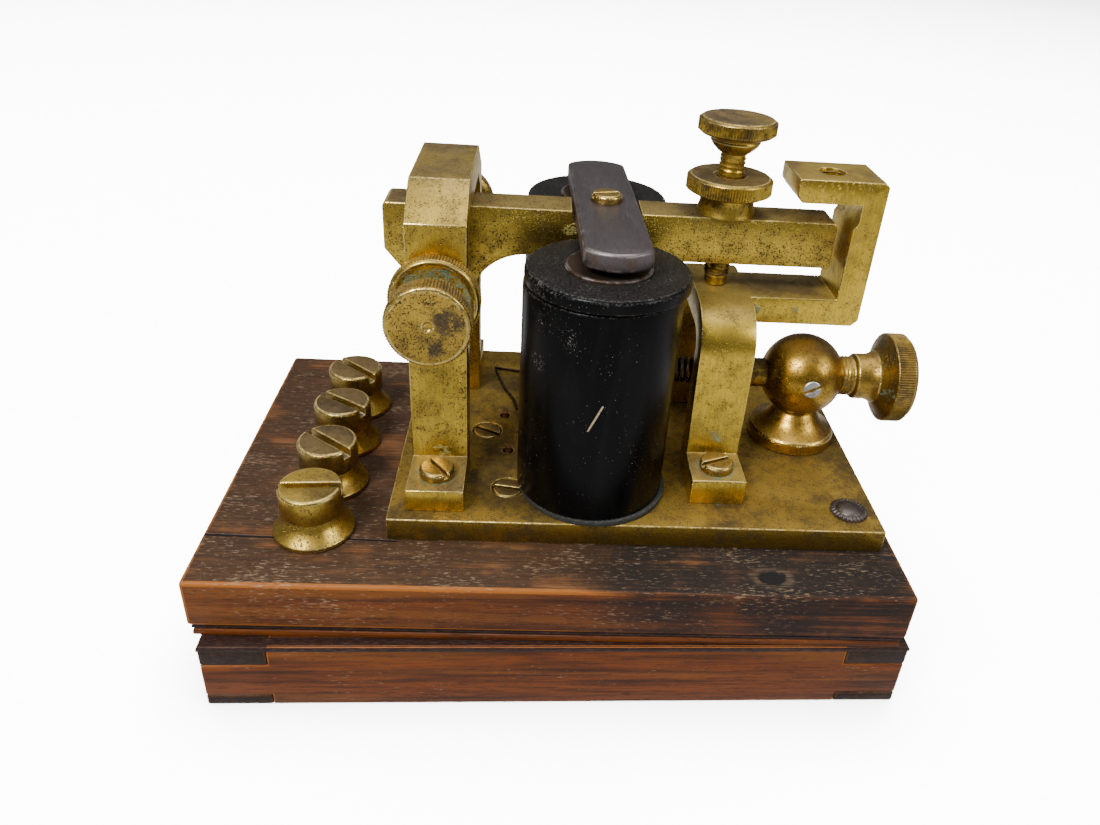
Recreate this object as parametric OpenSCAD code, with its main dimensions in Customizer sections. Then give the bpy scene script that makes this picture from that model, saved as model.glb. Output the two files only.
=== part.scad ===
// Telegraph sounder on a wooden base: two upright coils pull a steel armature
// down, and the brass lever that carries it knocks on an anvil arch.
// +X runs along the lever to the anvil, +Y to the back, +Z up.
// The origin is the centre of the base's underside.

/* [Wooden base] */
// Length of the top slab
base_l = 165; // [140:0.5:198]
// Depth of the top slab
base_w = 104; // [98:0.5:126]
// Thickness of the top slab
slab_t = 12.7; // [11:0.1:18]
// Thickness of the beaded board under the slab
lip_t = 3.5; // [3:0.1:5]
// Step in from the slab's edge to the beaded board
lip_step = 0.7; // [0.6:0.1:2.5]
// Height of the tray's rails
tray_h = 18.5; // [16:0.1:26]
// Width of a tray rail
rail_w = 15; // [11:0.1:18]
// How far the tray has crept to the right of the slab
tray_shift = 1; // [0:0.1:1.4]
// How far the tray sits forward of the slab
tray_forward = 1.5; // [0:0.1:2]
// Turn of the tray under the slab, in degrees
tray_turn = 1.4; // [0:0.1:2]
// Thickness of the board that closes the tray
bottom_t = 3; // [2.5:0.1:5]

/* [Brass plate] */
// Length of the plate
plate_l = 119; // [119:0.5:124]
// Depth of the plate
plate_w = 86; // [86:0.5:96]
// Thickness of the plate
plate_t = 6; // [5:0.1:8]
// X of the plate's right edge
plate_right = 78.75; // [77:0.05:82]
// Y of the lever's centre line
mech_y = 7.25; // [5:0.05:7.5]

/* [Coils] */
// X of the two coils
coil_x = 8.3; // [6:0.1:10]
// Distance between the coil centres
pole_gap = 51; // [46:0.5:60]
// Radius of the ebonite cheeks
cheek_r = 18.5; // [18.4:0.1:20]
// Thickness of a top cheek
cheek_t = 3.6; // [3:0.1:4.5]
// Outer radius of a coil sleeve
sleeve_r = 18; // [17.6:0.1:18.3]
// Wall of a coil sleeve
sleeve_t = 1.3; // [1:0.1:1.6]
// Height of the coil from the plate to the top of the cheek
coil_h = 57.6; // [52:0.1:58]
// Radius of the iron core
core_r = 6; // [5:0.1:7]
// Radius of the pole disc on the core
pole_r = 9.8; // [8:0.1:11]

/* [Lever] */
// Width of the lever bar
lever_w = 10.8; // [9:0.1:12]
// Depth of the lever bar
lever_d = 11.4; // [10:0.1:13]
// Height of the lever's top over the plate
lever_top = 63; // [62.5:0.1:66]
// X of the lever's left end
lever_left = -43.7; // [-48:0.1:-42]
// X of the lever's right end
lever_right = 64.3; // [58:0.1:65]
// X of the lever's pivot
pivot_x = -29.5; // [-31:0.1:-28]
// Drop from the lever's top to its pivot
pivot_drop = 14.4; // [13:0.1:15]
// Length of the armature bar
armature_l = 70.4; // [64:0.1:78]
// Width of the armature bar
armature_w = 15.2; // [12:0.1:17]
// Thickness of the armature bar
armature_t = 4.3; // [3.5:0.1:5]
// How deep the armature is let into the lever
notch_d = 3.1; // [2:0.1:4]

/* [Pivot bridge] */
// Width of the bridge
bridge_w = 13.6; // [12:0.1:15]
// Half the distance over the bridge's legs
bridge_half = 24.85; // [23:0.05:27]
// Thickness of a bridge leg
leg_t = 6.5; // [5.5:0.1:8]
// Length of a bridge foot
foot_l = 14.7; // [12:0.1:16]
// Thickness of a bridge foot
foot_t = 5.8; // [4.5:0.1:8]
// Radius of the knurled pivot lock nuts
pivot_nut_r = 10.3; // [8:0.1:11]
// Radius of the knurled pivot screw heads
pivot_head_r = 9.4; // [7:0.1:10]
// Thread radius of the pivot screws
pivot_thread_r = 3; // [2.5:0.1:3.6]

/* [Anvil arch] */
// X of the arch's left side
arch_left = 32.1; // [31:0.1:33]
// Width of the arch strap
arch_w = 13.4; // [12:0.1:14]
// Half the distance over the arch's legs
arch_half = 21.25; // [20:0.05:23]
// Thickness of the arch strap
strap_t = 6.5; // [5:0.1:7]
// Height of the anvil face over the plate
anvil_h = 44.5; // [43:0.1:46]
// X of the outer side of the stop bracket
bracket_right = 73.6; // [72:0.1:76]
// Depth of the stop bracket, front to back
bracket_d = 16.3; // [14:0.1:18]
// Thickness of the bracket's upright
bracket_t = 6.6; // [5.5:0.1:7]
// Height of the bracket's upper arm over the anvil face
upper_rise = 24; // [24:0.1:28]
// Thickness of the upper arm
upper_t = 5.6; // [4.5:0.1:7]

/* [Stop screw] */
// X of the stop screw
stop_x = 37.7; // [36.5:0.1:38.5]
// Thread radius of the stop screws
stop_r = 3.15; // [2.5:0.05:3.5]
// Radius of the stop screw's knurled head
stop_head_r = 9.2; // [8:0.1:10]
// Radius of the stop screw's lock nut
stop_nut_r = 10.3; // [9:0.1:11]

/* [Tension screw] */
// X of the ball post
post_x = 65; // [64:0.1:66]
// Radius of the ball
ball_r = 11; // [10:0.1:12]
// Height of the ball's centre over the plate
ball_h = 19.2; // [18:0.1:20]
// Radius of the post's flange
flange_r = 11.7; // [11:0.1:13]
// Radius of the tension screw's thread
tension_r = 5.4; // [4.8:0.1:5.8]
// Radius of the tension screw's knurled rim
tension_rim_r = 12; // [10:0.1:13]
// Radius of the draw rod
rod_r = 3.85; // [3.2:0.05:4.2]
// Mean radius of the tension spring
spring_r = 3.1; // [2.6:0.1:3.3]
// Wire radius of the tension spring
wire_r = 0.45; // [0.35:0.05:0.6]

/* [Terminals] */
// X of the terminal row
term_x = -57.6; // [-62:0.1:-56]
// Distance between terminals
term_pitch = 18.8; // [18:0.1:22]
// Y of the front terminal
term_front = -32.4; // [-34:0.1:-30]
// Radius of a terminal's skirt
skirt_r = 9.4; // [8:0.1:9.6]
// Radius of a terminal's slotted head
term_head_r = 7.3; // [6:0.1:8]

/* [Fits] */
// Radial gap round fixed screws and between seated pieces
fit_gap = 0.05; // [0.02:0.01:0.1]
// Gap round pieces of wood and pieces that pass by each other
free_gap = 0.4; // [0.3:0.05:0.6]

/* [Hidden] */
$fn = 72;

brass = [0.72, 0.58, 0.27];
steel = [0.52, 0.50, 0.49];
iron = [0.36, 0.34, 0.33];
ebonite = [0.08, 0.08, 0.08];
mahogany = [0.42, 0.20, 0.10];
copper = [0.62, 0.33, 0.18];

lip_z = tray_h;
slab_z = tray_h + lip_t;
wood_top = slab_z + slab_t;
plate_top = wood_top + plate_t;
plate_x = plate_right - plate_l;
eps = 0.01;

// coil and core heights
coil_y = [mech_y - pole_gap / 2, mech_y + pole_gap / 2];
spool_floor_t = 1.5;
cheek_top = plate_top + coil_h;
cheek_z = cheek_top - cheek_t;
sleeve_z = plate_top + spool_floor_t + fit_gap;
sleeve_top = cheek_z - fit_gap;
sleeve_creep = 0.7;
tube_r = core_r + 1.5;
winding_r = sleeve_r - sleeve_t - sleeve_creep - 0.3;
pole_rise = 0.7;
pole_t = 2;
yoke_t = 6;
yoke_w = 18;
yoke_end = 11;
core_bolt_r = 2.4;

// lever heights
lever_z = plate_top + lever_top;
lever_under = lever_z - lever_d;
pivot_z = lever_z - pivot_drop;
hub_drop = 6.6;
hub_z = pivot_z - hub_drop;
cove_r = 14;
armature_z = lever_z - notch_d;
armature_top = armature_z + armature_t;

// bridge and arch
foot_z = plate_top + foot_t;
bridge_x = pivot_x + 0.2 - bridge_w / 2;
bridge_top = lever_z + 9;
bridge_shoulder = 10.4;
bridge_rise = 7.1;
bridge_inner = bridge_half - leg_t;
ceiling_z = lever_z + 2.2;
foot_screw_y = bridge_half + foot_l * 0.52;
anvil_z = plate_top + anvil_h;
arch_foot_t = 6.8;
arch_foot_l = 12.3;
arch_corner = 11;
arch_screw_y = arch_half + arch_foot_l * 0.52;
upper_z = anvil_z + upper_rise;
upper_left = 52.2;
vacant_x = 61.9;
hold_screw_r = 2;
hold_head_r = 4.15;
hold_head_t = 2.3;

// tension gear
axis_z = plate_top + ball_h;
arm_x = 9;
rod_eye_x = 38;
spring_pin_r = 1;
spring_turns = 17;
spring_left = arm_x + spring_r - wire_r - spring_pin_r - 0.15;
spring_right = rod_eye_x - spring_r + wire_r + spring_pin_r + 0.15;
stud_r = 4;

// terminals
term_y = [for (i = [0:3]) term_front + i * term_pitch];
skirt_h = 6.2;
term_head_h = 6.6;
term_stud_r = 2.4;
term_stud_low = lip_z - 7.5;

// coil leads come up through these holes
lead_holes = [[-13, -5.6], [19, -1], [-14.5, 11.8], [24, 15]];
lead_hole_r = 1.4;
lead_r = 0.8;
lead_z = lip_z - lead_r - free_gap;

// flush screws that hold the plate to the slab, and the two fluted studs
flush_at = [[-19, 3.7], [24, 3.7], [-12.5, -22], [55, 40]];
flush_r = 3.9;
fluted_at = [[71.6, -28], [71.6, 42.5]];
fluted_r = 4.6;

module along_x(x0, length) {
    translate([x0, 0, 0]) rotate([90, 0, 90]) linear_extrude(length) children();
}

module along_y(y0, length) {
    translate([0, y0 + length, 0]) rotate([90, 0, 0]) linear_extrude(length) children();
}

module cyl_x(r, x0, x1) {
    translate([x0, 0, 0]) rotate([0, 90, 0]) cylinder(r = r, h = x1 - x0);
}

module cyl_y(r, y0, y1) {
    translate([0, y0, 0]) rotate([-90, 0, 0]) cylinder(r = r, h = y1 - y0);
}

module lathe(profile) {
    rotate_extrude() polygon(profile);
}

// a round bar with a slot cut across its top face, standing on z = 0
module slotted_head(r, h, slot_w, slot_d, turn) {
    difference() {
        lathe([[0, 0], [r, 0], [r, h - 0.5], [r - 0.5, h], [0, h]]);
        rotate([0, 0, turn]) translate([-r - 1, -slot_w / 2, h - slot_d]) cube([2 * r + 2, slot_w, slot_d + 1]);
    }
}

module cheese_screw(r, shank, turn) {
    slotted_head(r, hold_head_t, 1.1, 1.3, turn);
    translate([0, 0, -shank]) cylinder(r = hold_screw_r, h = shank + eps);
}

// ---- wooden base ----

base_screw_in = 7;
function turned(x, y) = [tray_shift + x * cos(tray_turn) - y * sin(tray_turn),
    x * sin(tray_turn) + y * cos(tray_turn) - tray_forward];
base_screw_at = [for (sx = [-1, 1], sy = [-1, 1])
    turned(sx * (base_l / 2 - base_screw_in), sy * (base_w / 2 - 0.5 - base_screw_in))];
base_screw_r = 1.9;
base_screw_head_r = 3.6;
pilot_d = 8;

module base_screw_holes(r, z0, z1) {
    for (p = base_screw_at) translate([p[0], p[1], z0]) cylinder(r = r, h = z1 - z0);
}

module term_holes(r, z0, z1) {
    for (y = term_y) translate([term_x, y, z0]) cylinder(r = r, h = z1 - z0);
}

module lead_bores(z0, z1) {
    for (p = lead_holes) translate([p[0], p[1], z0]) cylinder(r = lead_hole_r, h = z1 - z0);
}

yoke_pocket_d = yoke_t + 3.2;
post_pocket_r = 8.5;
post_pocket_d = 6;

module base_slab() {
    color(mahogany) difference() {
        translate([-base_l / 2, -base_w / 2, slab_z]) cube([base_l, base_w, slab_t]);
        base_screw_holes(base_screw_r + fit_gap, slab_z - 1, slab_z + pilot_d);
        term_holes(term_stud_r + free_gap, slab_z - 1, wood_top + 1);
        lead_bores(slab_z - 1, wood_top + 1);
        translate([coil_x - yoke_w / 2 - free_gap, coil_y[0] - yoke_end - free_gap, wood_top - yoke_pocket_d])
            cube([yoke_w + 2 * free_gap, pole_gap + 2 * yoke_end + 2 * free_gap, yoke_pocket_d + 1]);
        translate([post_x, mech_y, wood_top - post_pocket_d]) cylinder(r = post_pocket_r, h = post_pocket_d + 1);
        for (p = flush_at) translate([p[0], p[1], wood_top - 9]) cylinder(r = hold_screw_r + fit_gap, h = 10);
        for (p = fluted_at) translate([p[0], p[1], wood_top - 9]) cylinder(r = hold_screw_r + fit_gap, h = 10);
        foot_screw_bores(wood_top - 3.5, wood_top + 1, hold_screw_r + free_gap);
    }
}

lip_l = base_l - 2 * lip_step;
lip_w = base_w - 2 * lip_step;
bead_r = 0.55;

// two quirks run round the board's edge
module lip_board() {
    color(mahogany) difference() {
        translate([-lip_l / 2, -lip_w / 2, lip_z]) cube([lip_l, lip_w, lip_t]);
        for (k = [0.32, 0.72]) for (s = [-1, 1]) {
            translate([0, s * lip_w / 2, lip_z + k * lip_t]) cyl_x(bead_r, -lip_l / 2 - 1, lip_l / 2 + 1);
            translate([s * lip_l / 2, 0, lip_z + k * lip_t]) cyl_y(bead_r, -lip_w / 2 - 1, lip_w / 2 + 1);
        }
        base_screw_holes(base_screw_r + fit_gap, lip_z - 1, slab_z + 1);
        term_holes(term_stud_r + free_gap, lip_z - 1, slab_z + 1);
        lead_bores(lip_z - 1, slab_z + 1);
    }
}

tray_l = base_l;
tray_w = base_w - 1;
finger_low = 3;
finger_high = tray_h - 5.8;

module at_tray() {
    translate([tray_shift, -tray_forward, 0]) rotate([0, 0, tray_turn]) children();
}

// long rails keep the middle finger, side rails the top and bottom ones
module long_rail(side) {
    y0 = side < 0 ? -tray_w / 2 : tray_w / 2 - rail_w;
    x0 = -tray_l / 2;
    color(mahogany) difference() {
        at_tray() difference() {
            translate([x0, y0, 0]) cube([tray_l, rail_w, tray_h]);
            for (x = [x0 - 1, x0 + tray_l - rail_w]) {
                translate([x, y0 - 1, -1]) cube([rail_w + 1, rail_w + 2, finger_low + 1]);
                translate([x, y0 - 1, finger_high]) cube([rail_w + 1, rail_w + 2, tray_h]);
            }
            bottom_rebate();
        }
        base_screw_holes(base_screw_r + fit_gap, -1, tray_h + 1);
    }
}

module side_rail(side) {
    x0 = side < 0 ? -tray_l / 2 : tray_l / 2 - rail_w;
    color(mahogany) difference() {
        at_tray() difference() {
            translate([x0, -tray_w / 2, 0]) cube([rail_w, tray_w, tray_h]);
            for (y = [-tray_w / 2 - 1, tray_w / 2 - rail_w - fit_gap])
                translate([x0 - 1, y, finger_low - fit_gap])
                    cube([rail_w + 2, rail_w + 1 + fit_gap, finger_high - finger_low + 2 * fit_gap]);
            bottom_rebate();
        }
        base_screw_holes(base_screw_r + fit_gap, -1, tray_h + 1);
        base_screw_holes(base_screw_head_r + fit_gap, -1, base_screw_sink);
    }
}

rebate = 5;
base_screw_sink = 1.9;

module bottom_rebate() {
    translate([-tray_l / 2 + rail_w - rebate, -tray_w / 2 + rail_w - rebate, -1])
        cube([tray_l - 2 * (rail_w - rebate), tray_w - 2 * (rail_w - rebate), bottom_t + 1]);
}

module tray_front() long_rail(-1);
module tray_back() long_rail(1);
module tray_left() side_rail(-1);
module tray_right() side_rail(1);

module bottom_board() {
    inset = rail_w - rebate + free_gap / 2;
    color(mahogany) at_tray() translate([-tray_l / 2 + inset, -tray_w / 2 + inset, 0])
        cube([tray_l - 2 * inset, tray_w - 2 * inset, bottom_t - fit_gap]);
}

module base_screws() {
    head_z = 0.4;
    color(brass) for (p = base_screw_at) translate([p[0], p[1], head_z]) {
        difference() {
            cylinder(r = base_screw_head_r, h = base_screw_sink - head_z - fit_gap);
            translate([-5, -0.5, -1]) cube([10, 1, 1.7]);
        }
        translate([0, 0, 0.8]) cylinder(r = base_screw_r, h = slab_z + pilot_d - 2);
    }
}

// ---- brass plate and its fixings ----

module foot_screw_bores(z0, z1, r) {
    for (s = [-1, 1]) {
        translate([pivot_x + 0.2, mech_y + s * foot_screw_y, z0]) cylinder(r = r, h = z1 - z0);
        translate([arch_left + arch_w / 2, mech_y + s * arch_screw_y, z0]) cylinder(r = r, h = z1 - z0);
    }
}

module baseplate() {
    color(brass) difference() {
        translate([plate_x, mech_y - plate_w / 2, wood_top]) cube([plate_l, plate_w, plate_t]);
        foot_screw_bores(wood_top - 1, plate_top + 1, hold_screw_r + fit_gap);
        for (y = coil_y) translate([coil_x, y, wood_top - 1]) cylinder(r = core_bolt_r + fit_gap, h = plate_t + 2);
        translate([post_x, mech_y, wood_top - 1]) cylinder(r = stud_r + fit_gap, h = plate_t + 2);
        for (p = flush_at) translate([p[0], p[1], wood_top - 1]) {
            cylinder(r = hold_screw_r + fit_gap, h = plate_t + 2);
            translate([0, 0, 1 + plate_t - 2.4]) cylinder(r = flush_r + fit_gap, h = 3);
        }
        for (p = fluted_at) translate([p[0], p[1], wood_top - 1]) cylinder(r = hold_screw_r + fit_gap, h = plate_t + 2);
        lead_bores(wood_top - 1, plate_top + 1);
    }
}

module baseplate_screws() {
    color(brass) for (i = [0:3]) translate([flush_at[i][0], flush_at[i][1], plate_top - 2.35]) {
        slotted_head(flush_r, 2.35, 1.1, 1.2, [-28, 60, -10, 35][i]);
        translate([0, 0, -plate_t - 3.5]) cylinder(r = hold_screw_r, h = plate_t + 3.6);
    }
}

// domed studs with a scalloped skirt
module fluted_studs() {
    flutes = 22;
    color(steel) for (p = fluted_at) translate([p[0], p[1], plate_top]) {
        difference() {
            lathe([[0, 0], [fluted_r, 0], [fluted_r, 0.6], [fluted_r * 0.72, 1.7], [0, 1.9]]);
            for (i = [0:flutes - 1]) rotate([0, 0, i * 360 / flutes])
                translate([fluted_r + 0.15, 0, -0.5]) cylinder(r = 0.42, h = 3, $fn = 16);
        }
        translate([0, 0, -plate_t - 3]) cylinder(r = hold_screw_r, h = plate_t + 3.2);
    }
}

// ---- coils ----

module yoke() {
    color(iron) difference() {
        translate([coil_x - yoke_w / 2, coil_y[0] - yoke_end, wood_top - yoke_t])
            cube([yoke_w, pole_gap + 2 * yoke_end, yoke_t]);
        for (y = coil_y) translate([coil_x, y, wood_top - yoke_t - 1])
            cylinder(r = core_bolt_r + fit_gap, h = yoke_t + 2);
    }
}

core_bolt_in = 9;

module core_screws() {
    color(steel) for (y = coil_y) translate([coil_x, y, wood_top - yoke_t - 2.4]) {
        cylinder(r = 4.2, h = 2.4);
        translate([0, 0, 2.3]) cylinder(r = core_bolt_r, h = yoke_t + plate_t + core_bolt_in);
    }
}

module core(y) {
    color(iron) translate([coil_x, y, 0]) difference() {
        union() {
            translate([0, 0, plate_top]) cylinder(r = core_r, h = cheek_top + pole_rise - plate_top);
            translate([0, 0, cheek_top + pole_rise - pole_t]) cylinder(r = pole_r, h = pole_t);
        }
        translate([0, 0, plate_top - 1]) cylinder(r = core_bolt_r + fit_gap, h = core_bolt_in + 1.5);
    }
}

module front_core() core(coil_y[0]);
module rear_core() core(coil_y[1]);

module spool(y) {
    color(ebonite) translate([coil_x, y, plate_top]) difference() {
        union() {
            cylinder(r = cheek_r - 0.2, h = spool_floor_t);
            cylinder(r = tube_r, h = coil_h - cheek_t - fit_gap);
        }
        translate([0, 0, -1]) cylinder(r = core_r + fit_gap, h = coil_h + 2);
    }
}

module front_spool() spool(coil_y[0]);
module rear_spool() spool(coil_y[1]);

module winding(y) {
    h = coil_h - cheek_t - spool_floor_t - 1.2;
    color(copper) translate([coil_x, y, plate_top + spool_floor_t + 0.6]) difference() {
        cylinder(r = winding_r, h = h);
        translate([0, 0, -1]) cylinder(r = tube_r + fit_gap, h = h + 2);
    }
}

module front_winding() winding(coil_y[0]);
module rear_winding() winding(coil_y[1]);

// the sleeve sits a little to the left on its winding
module sleeve(y) {
    h = sleeve_top - sleeve_z;
    color(ebonite) translate([coil_x - sleeve_creep, y, sleeve_z]) difference() {
        cylinder(r = sleeve_r, h = h);
        translate([0, 0, -1]) cylinder(r = sleeve_r - sleeve_t, h = h + 2);
    }
}

module front_sleeve() sleeve(coil_y[0]);
module rear_sleeve() sleeve(coil_y[1]);

module top_cheek(y) {
    color(ebonite) translate([coil_x, y, cheek_z]) difference() {
        lathe([[0, 0], [cheek_r - 0.4, 0], [cheek_r, 0.4], [cheek_r, cheek_t - 0.5], [cheek_r - 0.5, cheek_t], [0, cheek_t]]);
        translate([0, 0, -1]) cylinder(r = core_r + fit_gap, h = cheek_t + 2);
        translate([0, 0, cheek_t + pole_rise - pole_t - fit_gap]) cylinder(r = pole_r + fit_gap, h = pole_t + 1);
    }
}

module front_top_cheek() top_cheek(coil_y[0]);
module rear_top_cheek() top_cheek(coil_y[1]);

// ---- pivot bridge ----

// half outline of the bridge from the crown out to the foot, mirrored about the lever
function bridge_side(s) = [
    [s * (bridge_half - bridge_shoulder), bridge_top],
    [s * bridge_half, bridge_top - bridge_rise],
    [s * bridge_half, foot_z],
    [s * (bridge_half + foot_l), foot_z],
    [s * (bridge_half + foot_l), plate_top],
    [s * bridge_inner, plate_top],
    [s * bridge_inner, ceiling_z - 4],
    [s * (bridge_inner - 4), ceiling_z]];

function reversed(list) = [for (i = [len(list) - 1:-1:0]) list[i]];

module pivot_bridge() {
    color(brass) difference() {
        translate([0, mech_y, 0]) along_x(bridge_x, bridge_w)
            polygon(concat(bridge_side(1), reversed(bridge_side(-1))));
        for (s = [-1, 1]) translate([bridge_x + bridge_w / 2, mech_y + s * foot_screw_y, plate_top - 1])
            cylinder(r = hold_screw_r + fit_gap, h = foot_t + 2);
        translate([pivot_x, mech_y, pivot_z])
            cyl_y(pivot_thread_r + fit_gap, -bridge_half - 1, bridge_half + 1);
    }
}

module bridge_screws() {
    color(brass) for (s = [-1, 1]) translate([bridge_x + bridge_w / 2, mech_y + s * foot_screw_y, foot_z])
        cheese_screw(hold_head_r, foot_t + plate_t + 2.5, -52);
}

pivot_nut_t = 4;
pivot_cone = 2.6;
pivot_cone_h = 2.4;
pivot_slope = 0.9;
pivot_reach = bridge_half - lever_w / 2;
front_head_out = 11.2;
rear_head_out = 15.5;
pivot_head_t = 5.2;
dish_r = 29.4;

// the screw as turned, pointing down: z = 0 is the leg's outer face
module pivot_screw(head_z, dome) {
    neck_z = pivot_nut_t + fit_gap;
    difference() {
        union() {
            lathe([[0, -pivot_reach + fit_gap], [pivot_thread_r, -pivot_reach + fit_gap],
                [pivot_thread_r, neck_z], [4.6, neck_z + 0.4], [4.6, head_z - 0.6],
                [pivot_head_r - 1.2, head_z - 0.2], [pivot_head_r, head_z + 0.8],
                [pivot_head_r, head_z + pivot_head_t - 1], [pivot_head_r - 0.9, head_z + pivot_head_t],
                [pivot_head_r * 0.6, head_z + pivot_head_t + dome * 0.7], [0, head_z + pivot_head_t + dome]]);
            translate([0, 0, -pivot_reach - pivot_cone_h])
                cylinder(r1 = pivot_cone - pivot_slope * pivot_cone_h, r2 = pivot_cone + pivot_slope * fit_gap,
                    h = pivot_cone_h + fit_gap + eps);
        }
        if (dome == 0) translate([0, 0, head_z + pivot_head_t - 0.8 + dish_r]) sphere(r = dish_r);
    }
}

module at_front_leg() {
    translate([pivot_x, mech_y - bridge_half, pivot_z]) rotate([90, 0, 0]) children();
}

module at_rear_leg() {
    translate([pivot_x, mech_y + bridge_half, pivot_z]) rotate([-90, 0, 0]) children();
}

module front_pivot_screw() {
    color(brass) at_front_leg() pivot_screw(front_head_out, 0);
}

module rear_pivot_screw() {
    color(brass) at_rear_leg() pivot_screw(rear_head_out, 2.2);
}

module pivot_locknut() {
    color(brass) difference() {
        lathe([[0, 0.02], [pivot_nut_r - 0.8, 0.02], [pivot_nut_r, 0.8], [pivot_nut_r, pivot_nut_t - 0.8],
            [pivot_nut_r - 0.9, pivot_nut_t], [pivot_nut_r - 2.2, pivot_nut_t], [pivot_thread_r + 2.4, pivot_nut_t - 1.1],
            [0, pivot_nut_t - 1.1]]);
        translate([0, 0, -1]) cylinder(r = pivot_thread_r + fit_gap, h = pivot_nut_t + 2);
    }
}

module front_pivot_locknut() at_front_leg() pivot_locknut();
module rear_pivot_locknut() at_rear_leg() pivot_locknut();

// ---- lever, armature and stop screw ----

hub_left = pivot_x - 6.4;
lever_cove_x = pivot_x + 19.9;
hub_right = lever_cove_x - sqrt(cove_r * cove_r - pow(cove_r - (lever_under - hub_z), 2));
cove_steps = 14;
cove_end = acos((cove_r - (lever_under - hub_z)) / cove_r);

// side view of the lever, with a round cove where the hub runs into the bar
function lever_outline() = concat(
    [[lever_left + 0.8, lever_z], [lever_left, lever_z - 0.8], [lever_left, lever_under],
        [hub_left, hub_z], [hub_right, hub_z]],
    [for (i = [1:cove_steps]) let (a = cove_end * (1 - i / cove_steps))
        [lever_cove_x - cove_r * sin(a), lever_under - cove_r + cove_r * cos(a)]],
    [[lever_right - 0.6, lever_under], [lever_right, lever_under + 0.6],
        [lever_right, lever_z - 0.6], [lever_right - 0.6, lever_z]]);

armature_turn = -1.8;
notch_half = armature_w / 2 + 0.6;
dimple_r = pivot_cone + 0.06;
arm_top_in = 5;
arm_r = 1.6;
arm_y = mech_y + 2.6;

module lever() {
    color(brass) difference() {
        along_y(mech_y - lever_w / 2, lever_w) polygon(lever_outline());
        translate([coil_x + 0.5 - notch_half, mech_y - lever_w, armature_z])
            cube([2 * notch_half, 2 * lever_w, notch_d + 1]);
        translate([coil_x + 0.5, mech_y, armature_z - 5]) cylinder(r = 2 + fit_gap, h = 6);
        translate([stop_x, mech_y, lever_under - 1]) cylinder(r = stop_r + fit_gap, h = lever_d + 2);
        translate([arm_x - 1, arm_y, lever_under - 1]) cylinder(r = arm_r + fit_gap, h = arm_top_in - 2.5);
        for (s = [-1, 1]) translate([pivot_x, mech_y + s * lever_w / 2, pivot_z]) rotate([s * 90, 0, 0])
            translate([0, 0, -0.1]) cylinder(r1 = dimple_r + pivot_slope * 0.1, r2 = 0, h = 0.1 + dimple_r / pivot_slope);
    }
}

module armature() {
    round_r = armature_w * 0.62;
    end = armature_l / 2 - round_r;
    color(steel) translate([coil_x + 0.5, mech_y, armature_z + fit_gap]) rotate([0, 0, -armature_turn])
        difference() {
            linear_extrude(armature_t - fit_gap) intersection() {
                square([armature_w, armature_l], center = true);
                union() {
                    translate([-armature_w / 2, -end]) square([armature_w, 2 * end]);
                    for (s = [-1, 1]) translate([0, s * end]) circle(r = round_r);
                }
            }
            translate([0, 0, -1]) cylinder(r = 2 + fit_gap, h = armature_t + 2);
        }
}

module armature_screw() {
    color(brass) translate([coil_x + 0.5, mech_y, armature_top]) {
        slotted_head(3.7, 2, 1, 1.1, 20);
        translate([0, 0, -armature_t - 4.6]) cylinder(r = 2, h = armature_t + 4.7);
    }
}

stop_nut_h = 4.3;
stop_collar_h = 4.8;
stop_collar_r = 6.8;

module stop_screw() {
    head_z = lever_z + 19;
    tip_r = stop_r - 0.35;
    color(brass) translate([stop_x, mech_y, 0])
        lathe([[0, anvil_z + 0.02], [tip_r - 0.5, anvil_z + 0.02], [tip_r, anvil_z + 0.6], [tip_r, anvil_z + 3.2],
            [stop_r, anvil_z + 3.6], [stop_r, head_z - 4.6], [5.7, head_z - 1.9], [stop_head_r - 1.4, head_z - 0.7],
            [stop_head_r, head_z], [stop_head_r, head_z + 2.7], [stop_head_r - 0.8, head_z + 3.5],
            [2.6, head_z + 3.2], [0, head_z + 2.7]]);
}

module stop_locknut() {
    z = lever_z + 0.05;
    color(brass) translate([stop_x, mech_y, z]) difference() {
        lathe([[0, 0], [stop_collar_r + 0.5, 0], [stop_collar_r - 0.3, stop_collar_h * 0.6], [stop_collar_r - 0.3, stop_collar_h - 0.4],
            [stop_nut_r - 1, stop_collar_h], [stop_nut_r, stop_collar_h + 0.8],
            [stop_nut_r, stop_collar_h + stop_nut_h - 0.8], [stop_nut_r - 0.9, stop_collar_h + stop_nut_h],
            [0, stop_collar_h + stop_nut_h]]);
        translate([0, 0, -1]) cylinder(r = stop_r + fit_gap, h = stop_collar_h + stop_nut_h + 2);
    }
}

// hangs from the lever between the coils and holds the spring's loop
module spring_arm() {
    color(brass) {
        translate([arm_x - 1, arm_y, axis_z - 2]) cylinder(r = arm_r, h = lever_under - axis_z + 2 + arm_top_in - 3.6);
        translate([arm_x - 1, arm_y, lever_under - 2.6]) cylinder(r = 2.6, h = 2.6 - fit_gap);
        translate([arm_x, 0, axis_z]) cyl_y(spring_pin_r, mech_y - 1.9, arm_y + 0.1);
    }
}

// ---- anvil arch with its stop bracket ----

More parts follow.
